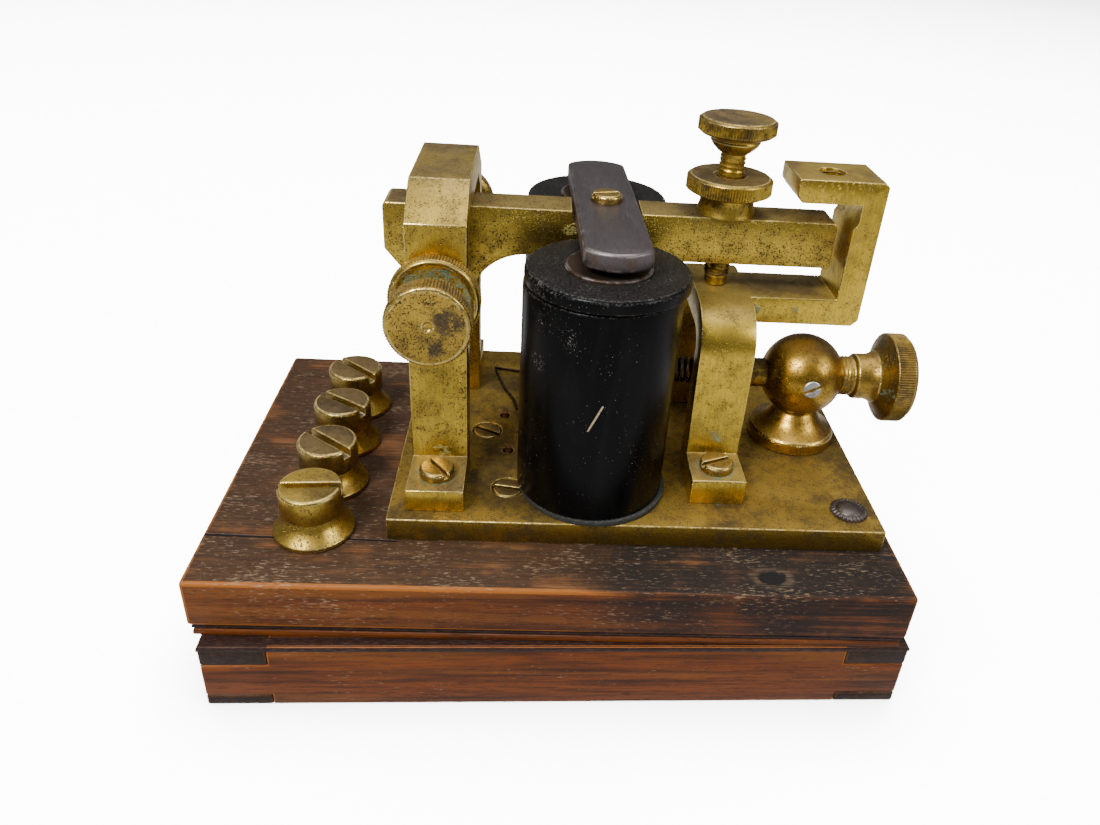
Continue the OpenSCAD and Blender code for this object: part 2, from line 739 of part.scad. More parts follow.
module arch_profile() {
    inner = arch_half - strap_t;
    inner_top = anvil_z - 6.9;
    difference() {
        union() {
            translate([-arch_half - arch_foot_l, plate_top]) square([2 * (arch_half + arch_foot_l), arch_foot_t]);
            translate([-arch_half, plate_top]) square([2 * arch_half, anvil_z - plate_top - arch_corner]);
            translate([-arch_half + arch_corner, plate_top]) square([2 * (arch_half - arch_corner), anvil_z - plate_top]);
            for (s = [-1, 1]) translate([s * (arch_half - arch_corner), anvil_z - arch_corner]) circle(r = arch_corner);
        }
        translate([-inner, plate_top - 1]) square([2 * inner, inner_top - plate_top + 1 - 5]);
        translate([-inner + 5, plate_top - 1]) square([2 * (inner - 5), inner_top - plate_top + 1]);
        for (s = [-1, 1]) translate([s * (inner - 5), inner_top - 5]) circle(r = 5);
    }
}

// side view of the bracket: lower arm, upright and upper arm
function bracket_outline() = [
    [arch_left + arch_w - 1, anvil_z - 6.9],
    [bracket_right - 1.6, anvil_z - 6.9],
    [bracket_right, anvil_z - 5.3],
    [bracket_right, upper_z + upper_t - 1],
    [bracket_right - 1, upper_z + upper_t],
    [upper_left, upper_z + upper_t],
    [upper_left, upper_z + 1.8],
    [upper_left + 1.4, upper_z],
    [bracket_right - bracket_t + 1, upper_z],
    [bracket_right - bracket_t + 1, upper_z - 4.2],
    [bracket_right - bracket_t, upper_z - 6],
    [bracket_right - bracket_t, anvil_z],
    [arch_left + arch_w - 1, anvil_z]];

module anvil_arch() {
    color(brass) difference() {
        union() {
            translate([0, mech_y, 0]) along_x(arch_left, arch_w) arch_profile();
            along_y(mech_y - bracket_d / 2, bracket_d) polygon(bracket_outline());
        }
        for (s = [-1, 1]) translate([arch_left + arch_w / 2, mech_y + s * arch_screw_y, plate_top - 1])
            cylinder(r = hold_screw_r + fit_gap, h = arch_foot_t + 2);
        translate([vacant_x, mech_y, upper_z - 1]) cylinder(r = stop_r, h = upper_t + 2);
    }
}

module anvil_screws() {
    color(brass) for (s = [-1, 1])
        translate([arch_left + arch_w / 2, mech_y + s * arch_screw_y, plate_top + arch_foot_t])
            cheese_screw(hold_head_r, arch_foot_t + plate_t + 2.5, 24);
}

// ---- tension screw on its ball post ----

set_screw_in = 4;
set_screw_r = 2.6;
set_tilt = 5.6;

module at_set_screw() {
    translate([post_x, mech_y, axis_z]) rotate([90 - set_tilt, 0, 0]) children();
}

module ball_post() {
    color(brass) difference() {
        union() {
            translate([post_x, mech_y, plate_top])
                lathe([[0, 0], [flange_r - 0.2, 0], [flange_r, 0.4], [flange_r, 3.1], [flange_r - 0.5, 3.7],
                    [flange_r - 1.2, 4.1], [8, 6.4], [5.9, 9.2], [5.2, 11.5], [0, 11.5]]);
            translate([post_x, mech_y, axis_z]) sphere(r = ball_r);
            translate([post_x, mech_y, wood_top - 4.6]) cylinder(r = stud_r, h = plate_t + 5);
        }
        translate([0, mech_y, axis_z]) cyl_x(rod_r + fit_gap, post_x - ball_r - 2, post_x + 1);
        translate([0, mech_y, axis_z]) cyl_x(tension_r + fit_gap, post_x - 1, post_x + ball_r + 2);
        at_set_screw() translate([0, 0, ball_r - set_screw_in]) cylinder(r = set_screw_r + fit_gap, h = set_screw_in + 2);
    }
}

module post_nut() {
    color(brass) translate([post_x, mech_y, wood_top - 4.5]) difference() {
        cylinder(r = 7.6, h = 4.45, $fn = 6);
        translate([0, 0, -1]) cylinder(r = stud_r + fit_gap, h = 7);
    }
}

module ball_set_screw() {
    color(steel) at_set_screw() translate([0, 0, ball_r - set_screw_in + 0.1])
        slotted_head(set_screw_r, set_screw_in - 0.1, 0.8, 0.9, 25);
}

bore_r = 2.6;

module tension_screw() {
    far = post_x + ball_r;
    color(brass) translate([0, mech_y, axis_z]) difference() {
        rotate([0, 90, 0]) lathe([[0, post_x + 1.5], [tension_r, post_x + 1.5], [tension_r, far + 2.2],
            [tension_r + 0.3, far + 2.6], [6.1, far + 2.9], [6.1, far + 6.2], [6.6, far + 7.7], [7.9, far + 9.2],
            [tension_rim_r - 1.4, far + 10.6], [tension_rim_r, far + 11.3], [tension_rim_r, far + 15.8],
            [tension_rim_r - 1, far + 16.8], [tension_rim_r - 4, far + 17.4], [0, far + 17.7]]);
        cyl_x(bore_r + fit_gap, post_x, far + 8);
    }
}

// the rod's tail runs in the screw's bore, its nose carries the spring's pin
module draw_rod() {
    lug_y = 2.6;
    color(brass) {
        translate([0, mech_y, axis_z]) cyl_x(rod_r, 43.5, post_x - 1.5);
        translate([0, mech_y, axis_z]) cyl_x(bore_r, post_x - 1.6, post_x + ball_r + 3);
        translate([rod_eye_x - 1.6, mech_y + lug_y - 1, axis_z - 1.6]) cube([43.6 - rod_eye_x + 1.6, 2, 3.2]);
        translate([rod_eye_x, 0, axis_z]) cyl_y(spring_pin_r, mech_y - 1.9, mech_y + lug_y);
    }
}

ring_sides = 8;
ring_steps = 14;

function coil_centre(t) = [spring_left + (spring_right - spring_left) * t,
    spring_r * sin(360 * spring_turns * t), spring_r * cos(360 * spring_turns * t)];

function coil_ring(t, i) = let (a = 360 * spring_turns * t, b = 360 * i / ring_sides)
    coil_centre(t) + wire_r * cos(b) * [0, sin(a), cos(a)] + wire_r * sin(b) * [1, 0, 0];

module coil_body() {
    n = spring_turns * ring_steps;
    points = [for (k = [0:n], i = [0:ring_sides - 1]) coil_ring(k / n, i)];
    sides = [for (k = [0:n - 1], i = [0:ring_sides - 1]) let (j = (i + 1) % ring_sides)
        [k * ring_sides + j, k * ring_sides + i, (k + 1) * ring_sides + i, (k + 1) * ring_sides + j]];
    first = [for (i = [0:ring_sides - 1]) i];
    last = [for (i = [ring_sides - 1:-1:0]) n * ring_sides + i];
    polyhedron(points = points, faces = concat(sides, [first], [last]), convexity = 10);
}

module end_loop(x, turn) {
    translate([x, 0, 0]) rotate([90, 0, 0]) rotate([0, 0, turn])
        rotate_extrude(angle = 180) translate([spring_r, 0]) circle(r = wire_r, $fn = 16);
}

module tension_spring() {
    color(steel) translate([0, mech_y, axis_z]) {
        coil_body();
        end_loop(spring_left, 90);
        end_loop(spring_right, -90);
    }
}

// ---- terminals and wiring ----

module terminal_skirts() {
    color(brass) for (y = term_y) translate([term_x, y, wood_top]) difference() {
        lathe([[0, 0], [skirt_r - 0.3, 0], [skirt_r, 0.4], [skirt_r, 1.2], [skirt_r - 0.6, 1.7], [7.4, 3.6],
            [6.4, 5.2], [6.2, skirt_h], [0, skirt_h]]);
        translate([0, 0, -1]) cylinder(r = term_stud_r + fit_gap, h = skirt_h + 2);
    }
}

module terminal_screw(i) {
    turn = [4, -38, -33, -40][i];
    color(brass) translate([term_x, term_y[i], wood_top + skirt_h + 0.05]) {
        slotted_head(term_head_r, term_head_h, 1.9, 2.2, turn);
        translate([0, 0, -wood_top - skirt_h + term_stud_low])
            cylinder(r = term_stud_r, h = wood_top + skirt_h - term_stud_low + 0.1);
    }
}

module terminal_screw_1() terminal_screw(0);
module terminal_screw_2() terminal_screw(1);
module terminal_screw_3() terminal_screw(2);
module terminal_screw_4() terminal_screw(3);

module terminal_nuts() {
    color(brass) for (y = term_y) translate([term_x, y, term_stud_low + 0.8]) difference() {
        cylinder(r = 4.6, h = 3, $fn = 6);
        translate([0, 0, -1]) cylinder(r = term_stud_r + fit_gap, h = 5);
    }
}

// each lead starts at a tag beside its terminal's nut and runs square to its hole
module lead_wires() {
    color(copper) for (i = [0:3]) {
        bend_x = i % 2 == 0 ? -40.6 : -44;
        hole = lead_holes[i];
        start_x = term_x + 5.6;
        run = [[start_x, term_y[i]], [bend_x, term_y[i]], [bend_x, hole[1]], hole];
        translate([0, run[0][1], lead_z]) cyl_x(lead_r, run[0][0], run[1][0]);
        translate([bend_x, 0, lead_z]) cyl_y(lead_r, min(run[1][1], run[2][1]), max(run[1][1], run[2][1]));
        translate([0, hole[1], lead_z]) cyl_x(lead_r, bend_x, hole[0]);
        translate([hole[0], hole[1], lead_z]) cylinder(r = lead_r, h = plate_top + 1.2 - lead_z);
        for (p = run) translate([p[0], p[1], lead_z]) sphere(r = lead_r);
    }
}

// a stray length of coil wire that lies on the plate
tail_r = 0.4;
tail_path = [[-10.5, 36.5], [-18.6, 38.2], [-16.6, 30.5], [-15.1, 25.7], [-12.4, 19.5], [-11.3, 14.4]];

tail_sides = 8;

function tail_way(i) = let (d = tail_path[min(i + 1, len(tail_path) - 1)] - tail_path[max(i - 1, 0)]) d / norm(d);

module coil_tail() {
    last = len(tail_path) - 1;
    points = [for (i = [0:last], k = [0:tail_sides - 1]) let (d = tail_way(i), b = 360 * k / tail_sides)
        concat(tail_path[i], [0]) + tail_r * (cos(b) * [-d[1], d[0], 0] + sin(b) * [0, 0, 1])];
    sides = [for (i = [0:last - 1], k = [0:tail_sides - 1]) let (n = (k + 1) % tail_sides)
        [i * tail_sides + k, i * tail_sides + n, (i + 1) * tail_sides + n, (i + 1) * tail_sides + k]];
    ends = [[for (k = [tail_sides - 1:-1:0]) k], [for (k = [0:tail_sides - 1]) last * tail_sides + k]];
    color(copper) translate([0, 0, plate_top + tail_r + fit_gap])
        polyhedron(points = points, faces = concat(sides, ends), convexity = 6);
}

base_slab();
lip_board();
tray_front();
tray_back();
tray_left();
tray_right();
bottom_board();
base_screws();
baseplate();
baseplate_screws();
fluted_studs();
yoke();
core_screws();
front_core();
rear_core();
front_spool();
rear_spool();
front_winding();
rear_winding();
front_sleeve();
rear_sleeve();
front_top_cheek();
rear_top_cheek();
pivot_bridge();
bridge_screws();
front_pivot_screw();
rear_pivot_screw();
front_pivot_locknut();
rear_pivot_locknut();
lever();
armature();
armature_screw();
stop_screw();
stop_locknut();
spring_arm();
anvil_arch();
anvil_screws();
ball_post();
post_nut();
ball_set_screw();
tension_screw();
draw_rod();
tension_spring();
terminal_skirts();
terminal_screw_1();
terminal_screw_2();
terminal_screw_3();
terminal_screw_4();
terminal_nuts();
lead_wires();
coil_tail();
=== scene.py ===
"""Looks for the telegraph sounder: meshes, finishes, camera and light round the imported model."""

import logging
import math
from dataclasses import dataclass, field
from enum import Enum

import bmesh
import bpy
from mathutils import Matrix, Vector


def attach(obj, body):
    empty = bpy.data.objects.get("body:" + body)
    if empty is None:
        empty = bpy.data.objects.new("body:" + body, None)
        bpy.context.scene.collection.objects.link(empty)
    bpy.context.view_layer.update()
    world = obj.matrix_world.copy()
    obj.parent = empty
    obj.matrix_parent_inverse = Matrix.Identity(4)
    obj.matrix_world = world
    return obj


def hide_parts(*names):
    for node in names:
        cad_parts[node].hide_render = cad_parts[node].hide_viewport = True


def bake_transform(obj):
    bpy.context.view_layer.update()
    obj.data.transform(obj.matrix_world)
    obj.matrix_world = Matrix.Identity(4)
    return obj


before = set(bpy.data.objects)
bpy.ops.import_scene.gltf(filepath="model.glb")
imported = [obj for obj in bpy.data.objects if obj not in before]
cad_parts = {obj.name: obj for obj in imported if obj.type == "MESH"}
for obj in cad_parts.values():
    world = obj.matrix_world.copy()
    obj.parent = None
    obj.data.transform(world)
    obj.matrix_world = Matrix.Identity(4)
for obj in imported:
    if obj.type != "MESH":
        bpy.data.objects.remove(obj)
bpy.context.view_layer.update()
MM = 0.001
LOG = logging.getLogger("sounder")


# ---------------------------------------------------------------- shader maths


class Sock:
    """An output in a node tree that adds Math or Vector Math nodes when used in a sum."""

    def __init__(self, tree: "Tree", socket: bpy.types.NodeSocket, vector: bool = False):
        self.tree = tree
        self.socket = socket
        self.vector = vector

    def _two(self, op: str, other: object, flip: bool = False) -> "Sock":
        a, b = (other, self) if flip else (self, other)
        wide = self.vector or (isinstance(other, Sock) and other.vector) or isinstance(other, tuple)
        if wide:
            return self.tree.vmath(op, a, b)
        return self.tree.math(op, a, b)

    def __add__(self, other: object) -> "Sock":
        return self._two("ADD", other)

    def __radd__(self, other: object) -> "Sock":
        return self._two("ADD", other, True)

    def __sub__(self, other: object) -> "Sock":
        return self._two("SUBTRACT", other)

    def __rsub__(self, other: object) -> "Sock":
        return self._two("SUBTRACT", other, True)

    def __mul__(self, other: object) -> "Sock":
        return self._two("MULTIPLY", other)

    def __rmul__(self, other: object) -> "Sock":
        return self._two("MULTIPLY", other, True)


class Tree:
    """A material's node tree, with short calls for the nodes that the finishes use."""

    def __init__(self, name: str):
        self.material = bpy.data.materials.new(name)
        self.material.use_nodes = True
        self.nodes = self.material.node_tree.nodes
        self.links = self.material.node_tree.links
        self.nodes.clear()
        coords = self.nodes.new("ShaderNodeTexCoord")
        self.pos = self.vmath("SCALE", Sock(self, coords.outputs["Object"], True), scale=1 / MM)
        self.normal = Sock(self, coords.outputs["Normal"], True)

    def plug(self, socket: bpy.types.NodeSocket, value: object) -> None:
        """Links or sets one input.

        Args:
            socket: the input.
            value: a Sock to link, or a number, colour or vector to store.
        """
        if isinstance(value, Sock):
            self.links.new(value.socket, socket)
        elif isinstance(value, tuple) and len(value) == 3 and len(socket.default_value) == 4:
            socket.default_value = (*value, 1.0)
        elif value is not None:
            if isinstance(value, (int, float)) and not isinstance(socket.default_value, (int, float)):
                value = tuple(float(value) for _ in socket.default_value)
            socket.default_value = value

    def node(self, kind: str, settings: dict | None = None, inputs: dict | None = None, out: object = 0,
             vector: bool = False) -> Sock:
        """Adds any node.

        Args:
            kind: the node's type name.
            settings: its attributes.
            inputs: values by input name or number.
            out: the output wanted, by name or number.
            vector: whether that output is a vector or colour.

        Returns:
            The wanted output.
        """
        n = self.nodes.new(kind)
        for key, value in (settings or {}).items():
            setattr(n, key, value)
        for key, value in (inputs or {}).items():
            self.plug(n.inputs[key], value)
        return Sock(self, n.outputs[out], vector)

    def math(self, op: str, a: object, b: object = None, c: object = None, clamp: bool = False) -> Sock:
        """Adds a Math node."""
        args = {i: v for i, v in enumerate((a, b, c)) if v is not None}
        return self.node("ShaderNodeMath", {"operation": op, "use_clamp": clamp}, args)

    def vmath(self, op: str, a: object, b: object = None, scale: float | None = None) -> Sock:
        """Adds a Vector Math node; DISTANCE, LENGTH and DOT_PRODUCT give a number."""
        scalar = op in ("DISTANCE", "LENGTH", "DOT_PRODUCT")
        args = {0: a}
        if b is not None:
            args[1] = b
        if scale is not None:
            args["Scale"] = scale
        return self.node("ShaderNodeVectorMath", {"operation": op}, args, "Value" if scalar else "Vector", not scalar)

    def axis(self, vec: Sock, index: int) -> Sock:
        """The X, Y or Z part of a vector."""
        return self.node("ShaderNodeSeparateXYZ", None, {0: vec}, index)

    def mix(self, factor: object, a: object, b: object) -> Sock:
        """Mixes two colours."""
        return self.node("ShaderNodeMix", {"data_type": "RGBA"}, {0: factor, 6: a, 7: b}, 2, True)

    def step(self, value: Sock, low: float, high: float) -> Sock:
        """0 under low, 1 over high, smooth between; low may be the larger of the two."""
        return self.node("ShaderNodeMapRange", {"interpolation_type": "SMOOTHSTEP"},
                         {"Value": value, "From Min": low, "From Max": high})

    def noise(self, vec: Sock, scale: float, detail: float = 3.0, rough: float = 0.55, bend: float = 0.0) -> Sock:
        """A noise value from 0 to 1."""
        return self.node("ShaderNodeTexNoise", None, {"Vector": vec, "Scale": scale, "Detail": detail,
                                                      "Roughness": rough, "Distortion": bend}, 0)

    def stretch(self, factors: tuple[float, float, float], shift: float = 0.0) -> Sock:
        """The position in mm, multiplied along each axis."""
        moved = self.pos + (shift, shift * 0.7, shift * 0.3) if shift else self.pos
        return moved * factors

    def near(self, point: tuple[float, float, float], inner: float, outer: float) -> Sock:
        """1 within inner mm of a point, falling to 0 at outer mm."""
        return self.step(self.vmath("DISTANCE", self.pos, point), outer, inner)

    def either(self, *masks: Sock) -> Sock:
        """The largest of some masks."""
        found = masks[0]
        for m in masks[1:]:
            found = self.math("MAXIMUM", found, m)
        return found

    def segment(self, a: tuple[float, float, float], b: tuple[float, float, float], width: float) -> Sock:
        """1 on a straight line between two points, 0 at width mm from it."""
        run = Vector(b) - Vector(a)
        rel = self.pos - tuple(a)
        t = self.math("DIVIDE", self.vmath("DOT_PRODUCT", rel, tuple(run)), run.length_squared, clamp=True)
        off = self.vmath("LENGTH", rel - self.spread(t) * tuple(run))
        return self.step(off, width, width * 0.35)

    def spread(self, value: Sock) -> Sock:
        """A number as a vector with that number three times."""
        return self.node("ShaderNodeCombineXYZ", None, {0: value, 1: value, 2: value}, 0, True)

    def edge(self) -> Sock:
        """1 on the rounded edges that the mesh code marks."""
        return self.node("ShaderNodeAttribute", {"attribute_name": "edge"}, None, "Fac")

    def bump(self, height: Sock, strength: float, distance: float) -> Sock:
        """A bumped normal; distance is in metres."""
        inputs = {"Strength": strength, "Distance": distance, "Height": height}
        return self.node("ShaderNodeBump", None, inputs, 0, True)

    def surface(self, **values: object) -> bpy.types.Material:
        """Ends the tree in a Principled BSDF.

        Args:
            values: its inputs, with underscores for spaces.

        Returns:
            The finished material.
        """
        shader = self.nodes.new("ShaderNodeBsdfPrincipled")
        for key, value in values.items():
            self.plug(shader.inputs[key.replace("_", " ")], value)
        out = self.nodes.new("ShaderNodeOutputMaterial")
        self.links.new(shader.outputs[0], out.inputs[0])
        return self.material


# ---------------------------------------------------------------- finishes


class Grain(Enum):
    """The way a surface's brush marks or wood grain run."""

    ALONG_X = (0.06, 1.0, 1.0)
    ALONG_Y = (1.0, 0.06, 1.0)
    ALONG_Z = (1.0, 1.0, 0.06)
    NONE = (1.0, 1.0, 1.0)


@dataclass(frozen=True)
class Patch:
    """A round stained area: its centre and its inner and outer radius, in mm."""

    at: tuple[float, float, float]
    inner: float
    outer: float
    need: float = 0.5


@dataclass(frozen=True)
class AgedBrass:
    """Old brass: gold where it is rubbed, brown where it is not, green where it was damp; rounded edges get rubbed gold
    that is partly a painted highlight.
    """

    name: str
    gold: tuple[float, float, float] = (0.84, 0.575, 0.075)
    brown: tuple[float, float, float] = (0.15, 0.10, 0.035)
    # edge_gold: colour of rounded edges, partly rubbed brass and partly a painted highlight
    edge_gold: tuple[float, float, float] = (0.78, 0.60, 0.22)
    tarnish: float = 0.25
    # how far upward faces turn to the darker top colour and grow duller and rougher
    top_face_mix: float = 0.75
    spots: float = 0.5
    grime: float = 0.42
    rough: float = 0.22
    grain: Grain = Grain.ALONG_Z
    grain_depth: float = 0.25
    top_color: tuple[float, float, float] = (0.135, 0.098, 0.062)
    green: tuple[Patch, ...] = ()
    stains: tuple[Patch, ...] = ()
    dirt_under: float | None = None
    shift: float = 0.0

    def build(self) -> bpy.types.Material:
        """Makes the material.

        Returns:
            The material.
        """
        t = Tree(self.name)
        wide = t.noise(t.stretch((1, 1, 1), self.shift), 0.045, 4, 0.6)
        blotch = t.noise(t.stretch((1, 1, 1), self.shift + 31), 0.22, 6, 0.68, 0.4)
        fine = t.noise(t.stretch((1, 1, 1), self.shift + 77), 1.15, 5, 0.7)
        pits = t.noise(t.stretch((1, 1, 1), self.shift + 5), 2.6, 2, 0.5)
        brushed = t.noise(t.stretch(self.grain.value, self.shift + 11), 3.4, 4, 0.75)
        top = t.step(t.axis(t.normal, 2), 0.55, 0.92)
        mottled = t.step(blotch * 0.62 + wide * 0.38 + fine * 0.16, 0.50, 0.72)
        worn = t.math("ADD", mottled * (0.35 + self.tarnish), self.tarnish * 0.55, clamp=True)
        gold = t.mix(t.step(brushed, 0.34, 0.66) * 0.5 + wide * 0.3, self.gold,
                     tuple(c * v for c, v in zip(self.gold, (0.58, 0.55, 0.42))))
        body = t.mix(worn, gold, self.brown)
        grime = t.step(fine * 0.6 + blotch * 0.4, 0.50, 0.64)
        body = t.mix(grime * self.grime, body, self.brown)
        # upward faces take a darker, browner top colour
        cap = t.mix(t.step(blotch + fine * 0.3, 0.50, 0.86), self.top_color, tuple(c * 0.5 for c in self.top_color))
        cap = t.mix(t.step(wide + fine * 0.2, 0.70, 0.56) * (1 - self.top_face_mix), cap, self.gold)
        body = t.mix(top * self.top_face_mix, body, cap)
        speck = t.step(pits + blotch * 0.35, 0.82 - self.spots * 0.1, 0.87 - self.spots * 0.1)
        body = t.mix(speck * min(1.0, 0.4 + self.spots), body, tuple(c * 0.45 for c in self.brown))
        for patch in self.stains:
            stain = t.near(patch.at, patch.inner, patch.outer)
            stain = stain * t.step(blotch * 0.6 + fine * 0.4, patch.need, patch.need + 0.05)
            body = t.mix(stain * 0.85, body, (0.045, 0.035, 0.028))
            speck = t.either(speck, stain * 0.8)
        if self.dirt_under is not None:
            dirt = top * t.step(t.axis(t.pos, 2), self.dirt_under, self.dirt_under - 0.3)
            body = t.mix(dirt * 0.8, body, (0.10, 0.115, 0.085))
            speck = t.either(speck, dirt)
        # rounded edges: rubbed gold, partly a painted highlight
        rub_and_highlight = t.edge() * t.step(fine + blotch * 0.5, 0.62, 0.84)
        body = t.mix(rub_and_highlight * 0.7, body, self.edge_gold)
        metal = t.math("SUBTRACT", 1.0, top * self.top_face_mix * 0.45 + speck * 0.5, clamp=True)
        rough = t.math("ADD", self.rough + worn * 0.16 + top * 0.2 * self.top_face_mix, brushed * 0.12, clamp=True)
        rough = rough - rub_and_highlight * 0.1
        height = fine * 0.35 + brushed * self.grain_depth - speck * 0.9
        if self.green:
            masks = []
            for patch in self.green:
                ring = t.near(patch.at, patch.inner, patch.outer)
                masks.append(t.step(fine * 0.55 + blotch * 0.45 + ring * 0.3, patch.need + 0.26, patch.need + 0.36)
                             * t.step(ring, 0.0, 0.35))
            crust = t.either(*masks)
            tint = t.mix(t.step(pits, 0.45, 0.6), (0.045, 0.135, 0.085), (0.24, 0.29, 0.20))
            body = t.mix(crust * 0.75, body, tint)
            metal = metal * (1 - crust * 0.9)
            rough = t.math("ADD", rough, crust * 0.4, clamp=True)
            height = height + crust * 1.2
        return t.surface(Base_Color=body, Metallic=metal, Roughness=rough, Specular_IOR_Level=0.18,
                         Normal=t.bump(height, 0.45, 0.00015))


@dataclass(frozen=True)
class Steel:
    """Dull steel with brush marks, brown near its lower edges."""

    name: str
    color: tuple[float, float, float] = (0.135, 0.115, 0.115)
    rust: tuple[float, float, float] = (0.07, 0.04, 0.025)
    rough: float = 0.38
    grain: Grain = Grain.ALONG_Y
    rusty: float = 0.3

    def build(self) -> bpy.types.Material:
        """Makes the material.

        Returns:
            The material.
        """
        t = Tree(self.name)
        brushed = t.noise(t.stretch(self.grain.value, 3), 4.0, 5, 0.75)
        blotch = t.noise(t.pos, 0.3, 6, 0.65)
        pits = t.noise(t.stretch((1, 1, 1), 19), 2.3, 3, 0.6)
        side = t.step(t.axis(t.normal, 2), 0.75, 0.3)
        stain = t.step(blotch + side * 0.16 + pits * 0.2, 0.76 - self.rusty * 0.2, 0.9 - self.rusty * 0.15)
        body = t.mix(t.step(brushed, 0.3, 0.75), self.color, tuple(c * 1.45 for c in self.color))
        body = t.mix(stain * 0.75, body, self.rust)
        speck = t.step(pits, 0.68, 0.74)
        body = t.mix(speck * 0.6, body, (0.24, 0.21, 0.19))
        body = t.mix(t.edge() * t.step(blotch, 0.4, 0.55) * 0.6, body, (0.25, 0.225, 0.215))
        rough = t.math("ADD", brushed * 0.14 + self.rough, stain * 0.25, clamp=True)
        return t.surface(Base_Color=body, Metallic=t.math("SUBTRACT", 0.95, stain * 0.4 + speck * 0.4),
                         Roughness=rough, Normal=t.bump(brushed * 0.5 + pits * 0.5 + stain * 0.4, 0.25, 0.0001))


@dataclass(frozen=True)
class Ebonite:
    """Black hard rubber with dust, chips and a few scratches."""

    name: str
    color: tuple[float, float, float] = (0.0016, 0.0016, 0.0018)
    dust: float = 0.5
    top_dust: float = 0.35
    scratches: tuple[tuple[tuple[float, float, float], tuple[float, float, float], float], ...] = ()
    chips: tuple[Patch, ...] = ()
    crescent_z: float | None = None

    def build(self) -> bpy.types.Material:
        """Makes the material.

        Returns:
            The material.
        """
        t = Tree(self.name)
        smear = t.noise(t.stretch((1, 1, 0.25)), 0.16, 5, 0.6, 0.6)
        fine = t.noise(t.stretch((1, 1, 1), 9), 1.9, 4, 0.7)
        tiny = t.noise(t.stretch((1, 1, 1), 41), 3.1, 1, 0.5)
        region = t.noise(t.stretch((1, 1, 1), 63), 0.12, 3, 0.6)
        top = t.step(t.axis(t.normal, 2), 0.6, 0.95)
        speck = t.step(tiny + region * 0.32 + top * 0.02, 0.955 - self.dust * 0.05, 1.0 - self.dust * 0.05)
        film = t.step(smear, 0.46, 0.74) * 0.012
        body = t.mix(film + top * self.top_dust * t.step(fine, 0.35, 0.7) * 0.10, self.color, (0.30, 0.27, 0.24))
        body = t.mix(speck * 0.55, body, (0.40, 0.39, 0.36))
        body = t.mix(t.edge() * t.step(fine, 0.48, 0.62) * 0.35, body, (0.12, 0.115, 0.105))
        height = fine * 0.2 + smear * 0.1
        marks = [speck * 0.3]
        for patch in self.chips:
            chip = t.near(patch.at, patch.inner, patch.outer)
            chip = chip * t.step(fine * 0.7 + smear * 0.3, patch.need, patch.need + 0.05)
            body = t.mix(chip * 0.7, body, (0.16, 0.15, 0.135))
            height = height - chip * 0.8
            marks.append(chip)
        for a, b, width in self.scratches:
            line = t.segment(a, b, width)
            body = t.mix(line * t.step(fine, 0.3, 0.5), body, (0.46, 0.36, 0.22))
            height = height - line
            marks.append(line)
        if self.crescent_z is not None:
            low = t.step(t.axis(t.pos, 2), self.crescent_z, self.crescent_z - 1.6)
            body = t.mix(low * t.step(fine, 0.4, 0.65) * 0.3, body, (0.10, 0.10, 0.085))
            marks.append(low * 0.7)
        rough = t.math("ADD", 0.20 + smear * 0.16, t.either(*marks) * 0.4 + top * 0.12, clamp=True)
        return t.surface(Base_Color=body, Roughness=rough, Specular_IOR_Level=0.10,
                         Normal=t.bump(height, 0.22, 0.00015))


